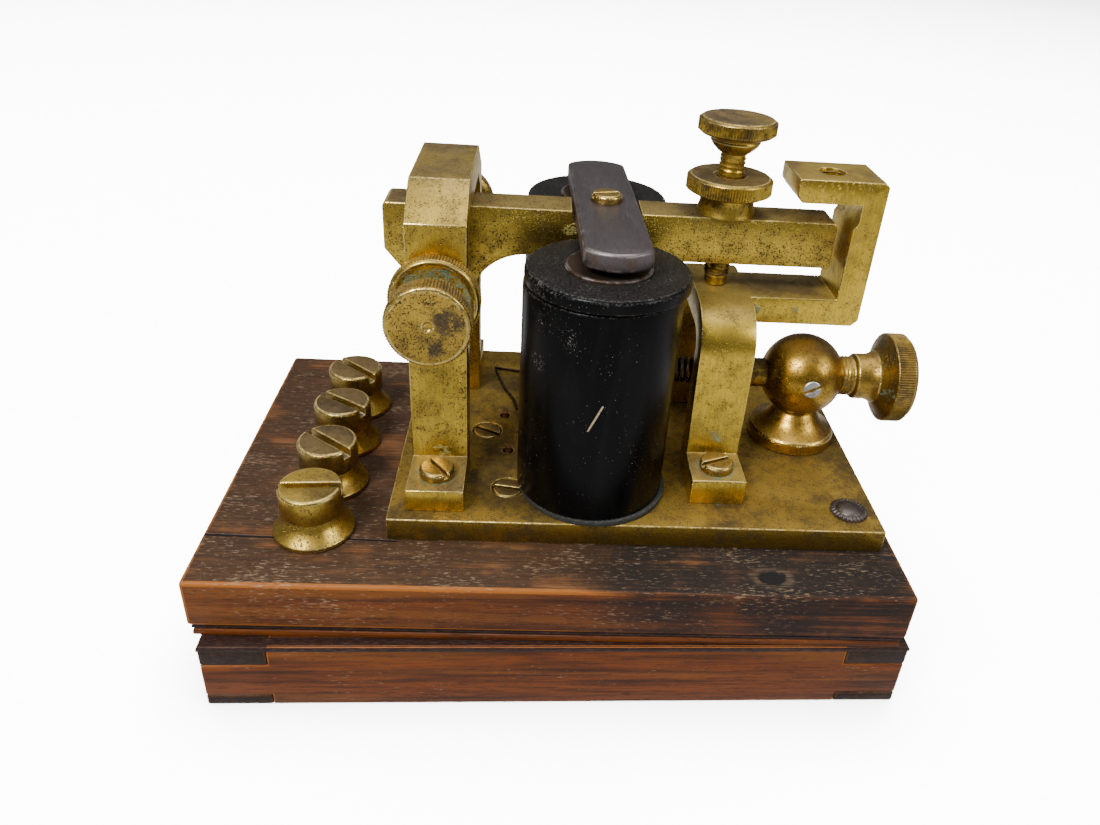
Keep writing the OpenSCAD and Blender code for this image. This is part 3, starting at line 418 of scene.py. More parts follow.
@dataclass(frozen=True)
class Mahogany:
    """Old varnished mahogany: streaky grain, pale wear, char, ebonised bands, and worn orange edges that are partly a
    painted highlight.
    """

    name: str
    warm: tuple[float, float, float] = (0.165, 0.042, 0.0045)
    deep: tuple[float, float, float] = (0.036, 0.0095, 0.0022)
    glow: tuple[float, float, float] = (0.36, 0.112, 0.013)
    grain: Grain = Grain.ALONG_X
    wear: float = 0.5
    top_dark: float = 0.0
    char: tuple[Patch, ...] = ()
    knots: tuple[tuple[float, float, float], ...] = ()
    ebony_bands: tuple[tuple[float, float], ...] = ()
    cracks: tuple[tuple[tuple[float, float, float], tuple[float, float, float], float], ...] = ()
    shift: float = 0.0
    gloss: float = 0.40

    def build(self) -> bpy.types.Material:
        """Makes the material.

        Returns:
            The material.
        """
        t = Tree(self.name)
        along = tuple(0.5 if v < 0.5 else 1.0 for v in self.grain.value)
        long_way, pore_way, chalk_way = (tuple(v * k if v < 0.5 else v for v in self.grain.value)
                                         for k in (0.55, 1.6, 2.2))
        swirl = t.noise(t.stretch(along, self.shift), 0.03, 3, 0.5)
        streak = t.noise(t.stretch(long_way, self.shift + 13), 0.75, 8, 0.62, 0.25)
        broad = t.noise(t.stretch(long_way, self.shift + 29), 0.22, 4, 0.55, 0.5)
        pore = t.noise(t.stretch(pore_way, self.shift + 47), 3.2, 3, 0.6)
        chalk = t.noise(t.stretch(chalk_way, self.shift + 71), 3.8, 4, 0.65)
        fiber = t.noise(t.stretch(long_way, self.shift + 51), 2.4, 6, 0.72)
        patchy = t.noise(t.stretch((0.5, 1, 1), self.shift + 90), 0.11, 4, 0.6)
        top = t.step(t.axis(t.normal, 2), 0.6, 0.9)
        body = t.mix(t.step(streak * 0.6 + broad * 0.4, 0.38, 0.62), self.warm, self.deep)
        body = t.mix(t.step(fiber, 0.46, 0.66) * 0.6, body, self.deep)
        body = t.mix(t.step(broad + swirl * 0.3, 0.62, 0.80) * 0.5, body, tuple(c * 0.7 for c in self.glow))
        body = t.mix(t.step(pore, 0.58, 0.68) * 0.65, body, (0.022, 0.010, 0.007))
        if self.top_dark:
            dull = t.mix(t.step(fiber, 0.35, 0.6), (0.25, 0.135, 0.062), (0.07, 0.036, 0.016))
            body = t.mix(top * 0.55, body, dull)
            soot = top * self.top_dark * t.step(patchy + streak * 0.2, 0.40, 0.60)
            body = t.mix(soot, body, (0.022, 0.014, 0.009))
        # rounded edges: worn orange, partly a painted highlight
        rub_and_highlight = t.edge() * t.step(broad * 0.5 + fiber * 0.5, 0.40, 0.52)
        body = t.mix(rub_and_highlight * (0.55 + self.wear * 0.3), body, self.glow)
        pale = t.step(chalk + patchy * 0.42 + top * 0.02, 0.90 - self.wear * 0.09, 0.97 - self.wear * 0.09)
        body = t.mix(pale * 0.62, body, (0.36, 0.26, 0.16))
        rough = t.math("ADD", self.gloss + streak * 0.16, pale * 0.3, clamp=True)
        height = streak * 0.25 + fiber * 0.3 - t.step(pore, 0.55, 0.7) * 0.5 + chalk * 0.25
        if self.char:
            burnt = t.either(*[t.near(c.at, c.inner, c.outer) for c in self.char])
            burnt = burnt * t.step(patchy * 0.5 + streak * 0.5, 0.36, 0.52)
            body = t.mix(burnt * 0.88 * (1 - pale * 0.7), body, (0.008, 0.0065, 0.006))
            rough = t.math("ADD", rough, burnt * 0.12, clamp=True)
            height = height - burnt * 0.2
        for knot in self.knots:
            away = t.vmath("DISTANCE", t.stretch((0.75, 1, 1)), (knot[0] * 0.75, knot[1], knot[2]))
            away = away + t.noise(t.pos, 0.5, 4, 0.6) * 2.4
            eye = t.step(away, 4.0, 3.1)
            ring = t.step(away, 5.6, 4.2) * (1 - eye) * t.step(fiber, 0.40, 0.6)
            body = t.mix(ring * 0.5, body, (0.17, 0.12, 0.075))
            body = t.mix(eye, body, (0.006, 0.005, 0.005))
            height = height - eye * 2.5 + ring * 0.6
        for low, high in self.ebony_bands:
            level = t.axis(t.pos, 2)
            band = t.step(level, low - 0.25, low + 0.05) * t.step(level, high + 0.25, high - 0.05)
            ink = t.mix(t.step(chalk + streak * 0.4, 0.66, 0.95), (0.011, 0.006, 0.006), (0.075, 0.04, 0.03))
            body = t.mix(band * 0.92, body, ink)
            rough = t.math("SUBTRACT", rough, band * 0.06)
        for a, b, width in self.cracks:
            split = t.segment(a, b, width)
            body = t.mix(split, body, (0.004, 0.003, 0.003))
            height = height - split * 2.0
        return t.surface(Base_Color=body, Roughness=rough, Specular_IOR_Level=0.22, Coat_Weight=0.04,
                         Coat_Roughness=0.3, Normal=t.bump(height, 0.55, 0.0003))


@dataclass(frozen=True)
class CopperWire:
    """Enamelled copper."""

    name: str
    color: tuple[float, float, float] = (0.26, 0.11, 0.05)

    def build(self) -> bpy.types.Material:
        """Makes the material.

        Returns:
            The material.
        """
        t = Tree(self.name)
        spots = t.noise(t.pos, 0.9, 4, 0.6)
        body = t.mix(t.step(spots, 0.4, 0.7), self.color, tuple(c * 0.4 for c in self.color))
        return t.surface(Base_Color=body, Metallic=0.7, Roughness=spots * 0.3 + 0.25,
                         Normal=t.bump(spots, 0.2, 0.00005))


@dataclass(frozen=True)
class Paper:
    """The pale matt floor."""

    name: str
    color: tuple[float, float, float] = (0.90, 0.90, 0.90)

    def build(self) -> bpy.types.Material:
        """Makes the material.

        Returns:
            The material.
        """
        t = Tree(self.name)
        tone = t.noise(t.pos, 0.004, 2, 0.5)
        return t.surface(Base_Color=t.mix(tone * 0.1, self.color, (0.86, 0.86, 0.87)), Roughness=0.8)


# ---------------------------------------------------------------- meshes


@dataclass
class Shape:
    """Mesh data in mm, with the faces that are rounded edges."""

    verts: list[tuple[float, float, float]] = field(default_factory=list)
    faces: list[tuple[int, ...]] = field(default_factory=list)
    rims: set[int] = field(default_factory=set)

    def moved(self, matrix: Matrix) -> "Shape":
        """The same shape under a matrix.

        Args:
            matrix: a rotation and shift, in mm.

        Returns:
            A new shape.
        """
        return Shape([tuple(matrix @ Vector(v)) for v in self.verts], list(self.faces), set(self.rims))

    def plus(self, other: "Shape") -> "Shape":
        """Both shapes as one.

        Args:
            other: the shape to add.

        Returns:
            A new shape.
        """
        base, count = len(self.verts), len(self.faces)
        return Shape(self.verts + other.verts,
                     self.faces + [tuple(i + base for i in f) for f in other.faces],
                     self.rims | {i + count for i in other.rims})


def mark_edges(mesh: bpy.types.Mesh, values: list[float]) -> None:
    """Stores the rounded-edge mark for each face.

    Args:
        mesh: the mesh.
        values: one number a face.
    """
    layer = mesh.attributes.get("edge") or mesh.attributes.new("edge", "FLOAT", "FACE")
    layer.data.foreach_set("value", values)


class Maker:
    """Turns shapes and CAD nodes into finished objects."""

    def place(self, mesh: bpy.types.Mesh, name: str, material: bpy.types.Material, body: str,
              slot: str, nodes: tuple[str, ...]) -> bpy.types.Object:
        """Makes an object of a mesh and parents it to its body.

        Args:
            mesh: the finished mesh, in metres.
            name: the object's name.
            material: its finish.
            body: the body it moves with, or "" if it has none.
            slot: not used.
            nodes: the CAD nodes it stands for.

        Returns:
            The object.
        """
        mesh.materials.clear()
        mesh.materials.append(material)
        obj = bpy.data.objects.new(name, mesh)
        bpy.context.scene.collection.objects.link(obj)
        if body:
            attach(obj, body)
        if nodes:
            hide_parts(*nodes)
        return obj

    def shape(self, shape: Shape, name: str, material: bpy.types.Material, body: str, slot: str,
              nodes: tuple[str, ...] = (), sharp: float = 40.0) -> bpy.types.Object:
        """Makes an object of a shape.

        Args:
            shape: the mesh data in mm.
            name: the object's name.
            material: its finish.
            body: the body it moves with.
            slot: not used.
            nodes: the CAD nodes it stands for.
            sharp: the angle in degrees over which an edge stays sharp.

        Returns:
            The object.
        """
        mesh = bpy.data.meshes.new(name)
        mesh.from_pydata([(v[0] * MM, v[1] * MM, v[2] * MM) for v in shape.verts], [], shape.faces)
        mark_edges(mesh, [1.0 if i in shape.rims else 0.0 for i in range(len(mesh.polygons))])
        bm = bmesh.new()
        bm.from_mesh(mesh)
        bmesh.ops.recalc_face_normals(bm, faces=bm.faces)
        bm.to_mesh(mesh)
        bm.free()
        mesh.shade_smooth()
        mesh.set_sharp_from_angle(angle=math.radians(sharp))
        return self.place(mesh, name, material, body, slot, nodes)

    def soften(self, node: str, width: float, material: bpy.types.Material, body: str, slot: str,
               angle: float = 32.0, segments: int = 2) -> bpy.types.Object:
        """Builds a piece with the CAD node's outline and rounded edges.

        Args:
            node: the CAD node it follows and stands for.
            width: how far each edge is rounded, in mm.
            material: its finish.
            body: the body it moves with.
            slot: not used.
            angle: the least angle of an edge that is rounded, in degrees.
            segments: the faces across a rounded edge.

        Returns:
            The object.
        """
        bm = bmesh.new()
        bm.from_mesh(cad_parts[node].data)
        bmesh.ops.remove_doubles(bm, verts=bm.verts, dist=2e-6)
        bmesh.ops.dissolve_limit(bm, angle_limit=math.radians(1.0), verts=bm.verts, edges=bm.edges)
        layer = bm.faces.layers.float.new("edge")
        keen = [e for e in bm.edges if len(e.link_faces) == 2 and e.calc_face_angle(0.0) > math.radians(angle)]
        done = bmesh.ops.bevel(bm, geom=keen, offset=width * MM, offset_type="OFFSET", segments=segments,
                               profile=0.5, affect="EDGES", clamp_overlap=False)
        for f in done["faces"]:
            f[layer] = 1.0
        bmesh.ops.triangulate(bm, faces=[f for f in bm.faces if len(f.verts) > 4])
        mesh = bpy.data.meshes.new(node)
        bm.to_mesh(mesh)
        bm.free()
        mesh.shade_smooth()
        mesh.set_sharp_from_angle(angle=math.radians(angle))
        return self.place(mesh, node + "_piece", material, body, slot, (node,))


def rounded(profile: list[tuple[float, float]], fillet: float, closed: bool) -> list[tuple[float, float, bool]]:
    """Rounds the corners of a profile.

    Args:
        profile: points (radius, height) in mm.
        fillet: how far each corner is rounded, in mm.
        closed: whether the last point joins the first.

    Returns:
        Points (radius, height, whether the step to the next point is a rounded corner).
    """
    out: list[tuple[float, float, bool]] = []
    count = len(profile)
    for i, point in enumerate(profile):
        here = Vector(point)
        if not closed and i in (0, count - 1):
            out.append((here.x, here.y, False))
            continue
        before, after = Vector(profile[i - 1]), Vector(profile[(i + 1) % count])
        back, ahead = before - here, after - here
        turn = math.pi - back.angle(ahead) if back.length and ahead.length else 0.0
        if turn < 0.3:
            out.append((here.x, here.y, False))
            continue
        cut = min(fillet, back.length * 0.42, ahead.length * 0.42)
        a, b = here + back.normalized() * cut, here + ahead.normalized() * cut
        for k in range(4):
            s = k / 3
            p = a * (1 - s) ** 2 + here * 2 * s * (1 - s) + b * s * s
            out.append((max(p.x, 0.0), p.y, k < 3))
    return out


def lathe(profile: list[tuple[float, float]], segments: int = 96, fillet: float = 0.22) -> Shape:
    """Turns a profile round Z.

    Args:
        profile: points (radius, height) in mm; it either starts and ends on the axis or is a closed ring.
        segments: the steps round the axis.
        fillet: how far corners are rounded, in mm.

    Returns:
        The turned shape.
    """
    closed = profile[0][0] > 1e-6
    points = rounded(profile, fillet, closed)
    shape = Shape()
    rings: list[list[int]] = []
    for r, z, _ in points:
        start = len(shape.verts)
        if r < 1e-6:
            shape.verts.append((0.0, 0.0, z))
            rings.append([start] * segments)
        else:
            for k in range(segments):
                a = 2 * math.pi * k / segments
                shape.verts.append((r * math.cos(a), r * math.sin(a), z))
            rings.append(list(range(start, start + segments)))
    steps = len(points) if closed else len(points) - 1
    for i in range(steps):
        low, high = rings[i], rings[(i + 1) % len(points)]
        for k in range(segments):
            j = (k + 1) % segments
            loop = []
            for v in (low[k], low[j], high[j], high[k]):
                if v not in loop:
                    loop.append(v)
            if len(loop) > 2:
                if points[i][2]:
                    shape.rims.add(len(shape.faces))
                shape.faces.append(tuple(loop))
    return shape


def edged_board(half_l: float, half_w: float, profile: list[tuple[float, float]], hollow: float = 0.0) -> Shape:
    """A rectangular board with a moulded edge.

    Args:
        half_l: half its length, in mm.
        half_w: half its depth.
        profile: points (inset from the outer edge, height) from top to bottom.
        hollow: if over 0, the board is a frame this wide.

    Returns:
        The board.
    """
    shape = Shape()
    loop = list(profile)
    if hollow:
        loop += [(hollow, profile[-1][1]), (hollow, profile[0][1])]
    for inset, z in loop:
        a, b = half_l - inset, half_w - inset
        shape.verts += [(-a, -b, z), (a, -b, z), (a, b, z), (-a, b, z)]
    count = len(loop)
    for i in range(count if hollow else count - 1):
        j = (i + 1) % count
        for k in range(4):
            n = (k + 1) % 4
            shape.faces.append((i * 4 + k, j * 4 + k, j * 4 + n, i * 4 + n))
    if not hollow:
        end = (count - 1) * 4
        shape.faces += [(3, 2, 1, 0), (end, end + 1, end + 2, end + 3)]
    return shape


def fluted(profile: list[tuple[float, float, float]], count: int, depth: float) -> Shape:
    """A turned piece with flutes round part of its profile.

    Args:
        profile: points (radius, height, share of the flutes' depth) from bottom to top.
        count: how many flutes.
        depth: how deep they are, in mm.

    Returns:
        The piece.
    """
    shape, steps = Shape(), count * 6
    for r, z, share in profile:
        for k in range(steps):
            a = 2 * math.pi * k / steps
            out = r - depth * share * (0.5 - 0.5 * math.cos(count * a))
            shape.verts.append((out * math.cos(a), out * math.sin(a), z))
    for i in range(len(profile) - 1):
        for k in range(steps):
            n = (k + 1) % steps
            shape.faces.append((i * steps + k, i * steps + n, (i + 1) * steps + n, (i + 1) * steps + k))
    top = (len(profile) - 1) * steps
    shape.faces += [tuple(range(steps - 1, -1, -1)), tuple(range(top, top + steps))]
    return shape


def tube(path: list[Vector], radius: float, sides: int = 10) -> Shape:
    """A round closed tube along a path.

    Args:
        path: its points in mm.
        radius: its radius in mm.
        sides: the faces round it.

    Returns:
        The tube.
    """
    shape = Shape()
    up = Vector((0, 0, 1))
    side = Vector((1, 0, 0))
    for i, p in enumerate(path):
        run = (path[min(i + 1, len(path) - 1)] - path[max(i - 1, 0)]).normalized()
        ref = up if abs(run.dot(up)) < 0.95 else side
        if i:
            ref = last
        u = (ref - run * ref.dot(run)).normalized()
        last = u
        w = run.cross(u)
        for k in range(sides):
            a = 2 * math.pi * k / sides
            shape.verts.append(tuple(p + u * (radius * math.cos(a)) + w * (radius * math.sin(a))))
    for i in range(len(path) - 1):
        for k in range(sides):
            j = (k + 1) % sides
            shape.faces.append((i * sides + k, i * sides + j, (i + 1) * sides + j, (i + 1) * sides + k))
    shape.faces.append(tuple(range(sides - 1, -1, -1)))
    end = (len(path) - 1) * sides
    shape.faces.append(tuple(range(end, end + sides)))
    return shape


# ---------------------------------------------------------------- geometry nodes


class Modelled:
    """A Geometry Nodes tree with named inputs that ends in Realize Instances and Set Material."""

    def __init__(self, name: str, sizes: dict[str, float], counts: dict[str, int]):
        self.tree = bpy.data.node_groups.new(name, "GeometryNodeTree")
        face = self.tree.interface
        face.new_socket(name="Geometry", in_out="OUTPUT", socket_type="NodeSocketGeometry")
        for key in sizes:
            face.new_socket(name=key, in_out="INPUT", socket_type="NodeSocketFloat")
        for key in counts:
            face.new_socket(name=key, in_out="INPUT", socket_type="NodeSocketInt")
        face.new_socket(name="Material", in_out="INPUT", socket_type="NodeSocketMaterial")
        self.given = self.tree.nodes.new("NodeGroupInput")

    def add(self, kind: str, settings: dict | None = None, links: dict | None = None) -> bpy.types.Node:
        """Adds a node.

        Args:
            kind: the node's type name.
            settings: its attributes.
            links: by input, a socket to link or a value to store.

        Returns:
            The node.
        """
        n = self.tree.nodes.new(kind)
        for key, value in (settings or {}).items():
            setattr(n, key, value)
        for key, value in (links or {}).items():
            if isinstance(value, bpy.types.NodeSocket):
                self.tree.links.new(value, n.inputs[key])
            else:
                n.inputs[key].default_value = value
        return n

    def close(self, geometry: bpy.types.NodeSocket) -> None:
        """Ends the tree.

        Args:
            geometry: the last geometry.
        """
        real = self.add("GeometryNodeRealizeInstances", None, {0: geometry})
        skin = self.add("GeometryNodeSetMaterial", None,
                        {"Geometry": real.outputs[0], "Material": self.given.outputs["Material"]})
        self.add("NodeGroupOutput", None, {0: skin.outputs[0]})

    def run(self, material: bpy.types.Material, **values: float) -> Shape:
        """Runs the tree.

        Args:
            material: the finish handed to Set Material.
            values: the other inputs by name, in mm.

        Returns:
            The result as a shape in mm.
        """
        host = bpy.data.objects.new("gn_host", bpy.data.meshes.new("gn_host"))
        bpy.context.scene.collection.objects.link(host)
        mod = host.modifiers.new("made", "NODES")
        mod.node_group = self.tree
        for item in self.tree.interface.items_tree:
            if item.item_type == "SOCKET" and item.in_out == "INPUT":
                mod[item.identifier] = material if item.name == "Material" else values[item.name]
        graph = bpy.context.evaluated_depsgraph_get()
        graph.update()
        mesh = bpy.data.meshes.new_from_object(host.evaluated_get(graph))
        host.modifiers.remove(mod)
        shape = Shape([tuple(v.co) for v in mesh.vertices], [tuple(p.vertices) for p in mesh.polygons])
        bpy.data.objects.remove(host)
        return shape


class Knurl(Modelled):
    """Straight ridges round a rim."""

    def __init__(self) -> None:
        super().__init__("knurl", {"Radius": 9.0, "Length": 3.0, "Ridge": 0.3}, {"Count": 90})
        ring = self.add("GeometryNodeMeshCircle", None,
                        {"Vertices": self.given.outputs["Count"], "Radius": self.given.outputs["Radius"]})
        ridge = self.add("GeometryNodeMeshCylinder", None,
                         {"Vertices": 4, "Radius": self.given.outputs["Ridge"], "Depth": self.given.outputs["Length"]})
        where = self.add("GeometryNodeInputPosition")
        turn = self.add("FunctionNodeAlignRotationToVector", {"axis": "X"}, {"Vector": where.outputs[0]})
        on = self.add("GeometryNodeInstanceOnPoints", None,
                      {"Points": ring.outputs[0], "Instance": ridge.outputs[0], "Rotation": turn.outputs[0]})
        self.close(on.outputs[0])


class Thread(Modelled):
    """A helical ridge."""

    def __init__(self) -> None:
        super().__init__("thread", {"Radius": 3.0, "Length": 8.0, "Ridge": 0.25, "Turns": 10.0}, {"Steps": 30})
        helix = self.add("GeometryNodeCurveSpiral", None,
                         {"Resolution": self.given.outputs["Steps"], "Rotations": self.given.outputs["Turns"],
                          "Start Radius": self.given.outputs["Radius"], "End Radius": self.given.outputs["Radius"],
                          "Height": self.given.outputs["Length"]})
        ridge = self.add("GeometryNodeCurvePrimitiveCircle", None,
                         {"Resolution": 4, "Radius": self.given.outputs["Ridge"]})
        sweep = self.add("GeometryNodeCurveToMesh", None,
                         {"Curve": helix.outputs[0], "Profile Curve": ridge.outputs[0], "Fill Caps": True})
        self.close(sweep.outputs[0])


# ---------------------------------------------------------------- the object's parts


@dataclass
class Kit:
    """What every sub-assembly uses."""

    maker: Maker
    knurl: Knurl
    thread: Thread
    finishes: dict[str, bpy.types.Material]

    def rim(self, material: bpy.types.Material, radius: float, low: float, high: float, count: int,
            ridge: float = 0.27) -> Shape:
        """Knurl ridges on a rim round Z.

        Args:
            material: the rim's finish.
            radius: the rim's radius in mm.
            low: the ridges' lower end.
            high: their upper end.
            count: how many.
            ridge: half a ridge's width.

        Returns:
            The ridges.
        """
        made = self.knurl.run(material, Radius=radius - 0.02, Length=high - low, Ridge=ridge, Count=count)
        return made.moved(Matrix.Translation((0, 0, (low + high) / 2)))

    def helix(self, material: bpy.types.Material, radius: float, low: float, high: float, pitch: float = 0.75,
              ridge: float = 0.24) -> Shape:
        """A thread's ridge round Z.

        Args:
            material: the screw's finish.
            radius: the thread's core radius in mm.
            low: its lower end.
            high: its upper end.
            pitch: the rise of a turn.
            ridge: the ridge's half width.

        Returns:
            The ridge.
        """
        turns = (high - low) / pitch
        made = self.thread.run(material, Radius=radius, Length=high - low, Ridge=ridge, Turns=turns, Steps=28)
        return made.moved(Matrix.Translation((0, 0, low)))


@dataclass
class WoodBase:
    """The slab, the beaded board and the tray."""

    kit: Kit
    edge: float = 0.9
    half: tuple[float, float] = (82.5, 52.0)
    tray_half: tuple[float, float] = (82.5, 51.5)
    tray_at: tuple[float, float, float] = (1.0, -1.5, 0)
    tray_turn: float = 1.4

    def build(self) -> None:
        """Makes the base's pieces."""
        make, fin = self.kit.maker, self.kit.finishes
        make.soften("base_slab", self.edge, fin["slab"], "base", "slab_wood", segments=3)
        bead = [(2.0, 22.15), (1.3, 22.05), (0.85, 21.75), (0.65, 21.3), (0.75, 20.85), (1.15, 20.55),
                (1.35, 20.45), (1.0, 20.3), (0.8, 20.0), (0.72, 19.4), (0.8, 18.75), (1.2, 18.5)]
        make.shape(edged_board(*self.half, bead), "lip_board_moulded", fin["lip"], "base", "lip_wood",
                   ("lip_board",))
        nose = [(1.0, 18.55), (0.3, 18.45), (0.0, 18.15), (-0.12, 17.65), (-0.02, 17.1), (0.3, 16.85), (1.0, 16.8)]
        turn = Matrix.Translation(self.tray_at) @ Matrix.Rotation(math.radians(self.tray_turn), 4, "Z")
        band = edged_board(*self.tray_half, nose, hollow=3.0).moved(turn)
        make.shape(band, "tray_bead", fin["bead"], "base", "tray_wood")
        for node, rail in (("front", "rail_x"), ("back", "rail_x"), ("left", "rail_y"), ("right", "rail_y")):
            make.soften("tray_" + node, 0.5, fin[rail], "base", "tray_wood")
        make.soften("bottom_board", 0.3, fin["rail_x"], "base", "tray_wood")
        make.soften("base_screws", 0.12, fin["screw"], "base", "screw_brass")


@dataclass
class BrassPlate:
    """The plate and what lies on it."""

    kit: Kit
    studs: tuple[tuple[float, float, float], ...] = ((71.6, -28, 40.7), (71.6, 42.5, 40.7))

    def build(self) -> None:
        """Makes the plate's pieces."""
        make, fin = self.kit.maker, self.kit.finishes
        make.soften("baseplate", 0.3, fin["plate"], "base", "plate_brass")
        make.soften("baseplate_screws", 0.15, fin["plate_screw"], "base", "screw_brass")
        outline = [(1.75, -8.0, 0), (1.75, 0, 0), (4.6, 0, 1), (4.6, 0.55, 1), (4.4, 0.9, 1), (4.0, 1.15, 1),
                   (3.6, 1.2, 0.8), (3.35, 1.05, 0), (3.15, 1.05, 0), (2.85, 1.4, 0), (2.1, 1.72, 0),
                   (1.1, 1.88, 0), (0.3, 1.9, 0)]
        stud = fluted(outline, 26, 0.42)
        front, rear = (stud.moved(Matrix.Translation(at)) for at in self.studs)
        pair = front.plus(rear)
        make.shape(pair, "studs_fluted", fin["stud"], "base", "screw_steel", ("fluted_studs",))
        make.soften("coil_tail", 0.05, fin["tail"], "base", "copper_wire", angle=50)
        make.soften("lead_wires", 0.05, fin["copper"], "base", "copper_wire", angle=50)
        make.soften("yoke", 0.3, fin["iron"], "base", "core_iron")
        make.soften("core_screws", 0.2, fin["stud"], "base", "screw_steel")
        make.soften("post_nut", 0.2, fin["turned"], "base", "turned_brass")


@dataclass
class Coils:
    """The two coils with their cores."""

    kit: Kit
    x: float = 8.3
    creep: float = 0.7
    ys: tuple[float, float] = (-18.25, 32.75)
    cheek_r: float = 18.5
    cheek_low: float = 94.7
    cheek_top: float = 98.3
    sleeve_r: float = 18.0
    sleeve_in: float = 16.7
    sleeve_low: float = 42.25
    sleeve_top: float = 94.65

    def build(self) -> None:
        """Makes both coils."""
        for name, y in zip(("front", "rear"), self.ys):
            self.one(name, y)

    def one(self, name: str, y: float) -> None:
        """Makes one coil.

        Args:
            name: front or rear.
            y: its centre.
        """
        make, fin = self.kit.maker, self.kit.finishes
        low, top = self.cheek_low, self.cheek_top
        cheek = lathe([(6.05, low), (17.6, low), (self.cheek_r, low + 0.5), (self.cheek_r, top - 0.6),
                       (self.cheek_r - 0.6, top), (9.86, top), (9.86, top - 1.35), (6.05, top - 1.35)], 128, 0.3)
        make.shape(cheek.moved(Matrix.Translation((self.x, y, 0))), f"{name}_cheek_turned", fin["cheek"], "base",
                   "ebonite", (f"{name}_top_cheek",))
        sleeve = lathe([(self.sleeve_in, self.sleeve_low), (self.sleeve_r, self.sleeve_low),
                        (self.sleeve_r, self.sleeve_top), (self.sleeve_in, self.sleeve_top)], 144, 0.35)
        make.shape(sleeve.moved(Matrix.Translation((self.x - self.creep, y, 0))), f"{name}_sleeve_turned",
                   fin["sleeve"], "base", "ebonite", (f"{name}_sleeve",))
        core = lathe([(0, 40.8), (5.9, 40.8), (5.95, 96.9), (9.8, 97.05), (9.8, 98.75), (9.3, 99.0), (8.4, 98.86),
                      (3.2, 98.92), (0, 98.86)], 96, 0.25)
        make.shape(core.moved(Matrix.Translation((self.x, y, 0))), f"{name}_core_turned", fin["core"], "base",
                   "core_iron", (f"{name}_core",))
        make.soften(f"{name}_spool", 0.3, fin["washer"], "base", "ebonite")
        make.soften(f"{name}_winding", 0.3, fin["copper"], "base", "copper_wire")


@dataclass
class PivotBridge:
    """The bridge, its foot screws, and the knurled pivot screws with their lock nuts."""

    kit: Kit
    x: float = -29.5
    z: float = 89.3
    front_y: float = -17.6
    rear_y: float = 32.1
    nut_r: float = 10.3
    head_r: float = 9.4
    thread_r: float = 3.0

    def at_leg(self, front: bool) -> Matrix:
        """The matrix that lays a shape turned round Z on a leg, pointing out.

        Args:
            front: the front leg, or else the rear one.

        Returns:
            The matrix.
        """
        place = Matrix.Translation((self.x, self.front_y if front else self.rear_y, self.z))
        return place @ Matrix.Rotation(math.radians(90 if front else -90), 4, "X")

    def screw(self, head: float, dome: float) -> Shape:
        """A pivot screw round Z.

        Args:
            head: where its head starts, from the leg's outer face.
            dome: how far its end face stands out at the centre; below 0 is a dish.

        Returns:
            The screw.
        """
        r, end = self.head_r, head + 5.2
        face = [(r - 0.5, end - 0.25), (r - 1.1, end), (r * 0.72, end + dome * 0.45), (r * 0.4, end + dome * 0.85),
                (1.2, end + dome), (0.7, end + dome - 0.45), (0, end + dome - 0.55)]
        body = lathe([(0, -21.8), (0.45, -21.8), (2.62, -19.42), (2.75, -19.3), (2.75, 4.1), (4.6, 4.5),
                      (4.6, head - 0.7), (r - 1.3, head - 0.2), (r - 0.3, head + 0.6), (r - 0.3, end - 0.9), *face],
                     112, 0.25)
        mat = self.kit.finishes["turned"]
        shape = body.plus(self.kit.rim(mat, r - 0.3, head + 0.55, end - 0.85, 88))
        return shape.plus(self.kit.helix(mat, 2.72, -19.0, -6.9, 0.8, 0.26))

    def nut(self) -> Shape:
        """A pivot lock nut round Z.

        Returns:
            The nut.
        """
        r, t = self.nut_r, 4.0
        ring = lathe([(3.06, 0.05), (r - 1.0, 0.05), (r - 0.3, 0.7), (r - 0.3, t - 0.75), (r - 0.8, t - 0.1),
                      (r - 1.5, t - 0.1), (r - 2.3, t - 0.35), (5.6, t - 1.15), (3.06, t - 1.15)], 112, 0.2)
        return ring.plus(self.kit.rim(self.kit.finishes["turned"], r - 0.3, 0.65, t - 0.7, 96))

    def build(self) -> None:
        """Makes the bridge's pieces."""
        make, fin = self.kit.maker, self.kit.finishes
        make.soften("pivot_bridge", 0.32, fin["bridge"], "base", "casting_brass")
        make.soften("bridge_screws", 0.2, fin["screw"], "base", "screw_brass")
        for name, front, head, dome in (("front", True, 11.2, -0.75), ("rear", False, 15.5, 2.1)):
            at = self.at_leg(front)
            make.shape(self.screw(head, dome).moved(at), f"{name}_pivot_knob", fin["knob"], f"{name}_pivot_screw",
                       "turned_brass", (f"{name}_pivot_screw",))
            make.shape(self.nut().moved(at), f"{name}_pivot_ring", fin["nut"], f"{name}_pivot_locknut",
                       "turned_brass", (f"{name}_pivot_locknut",))


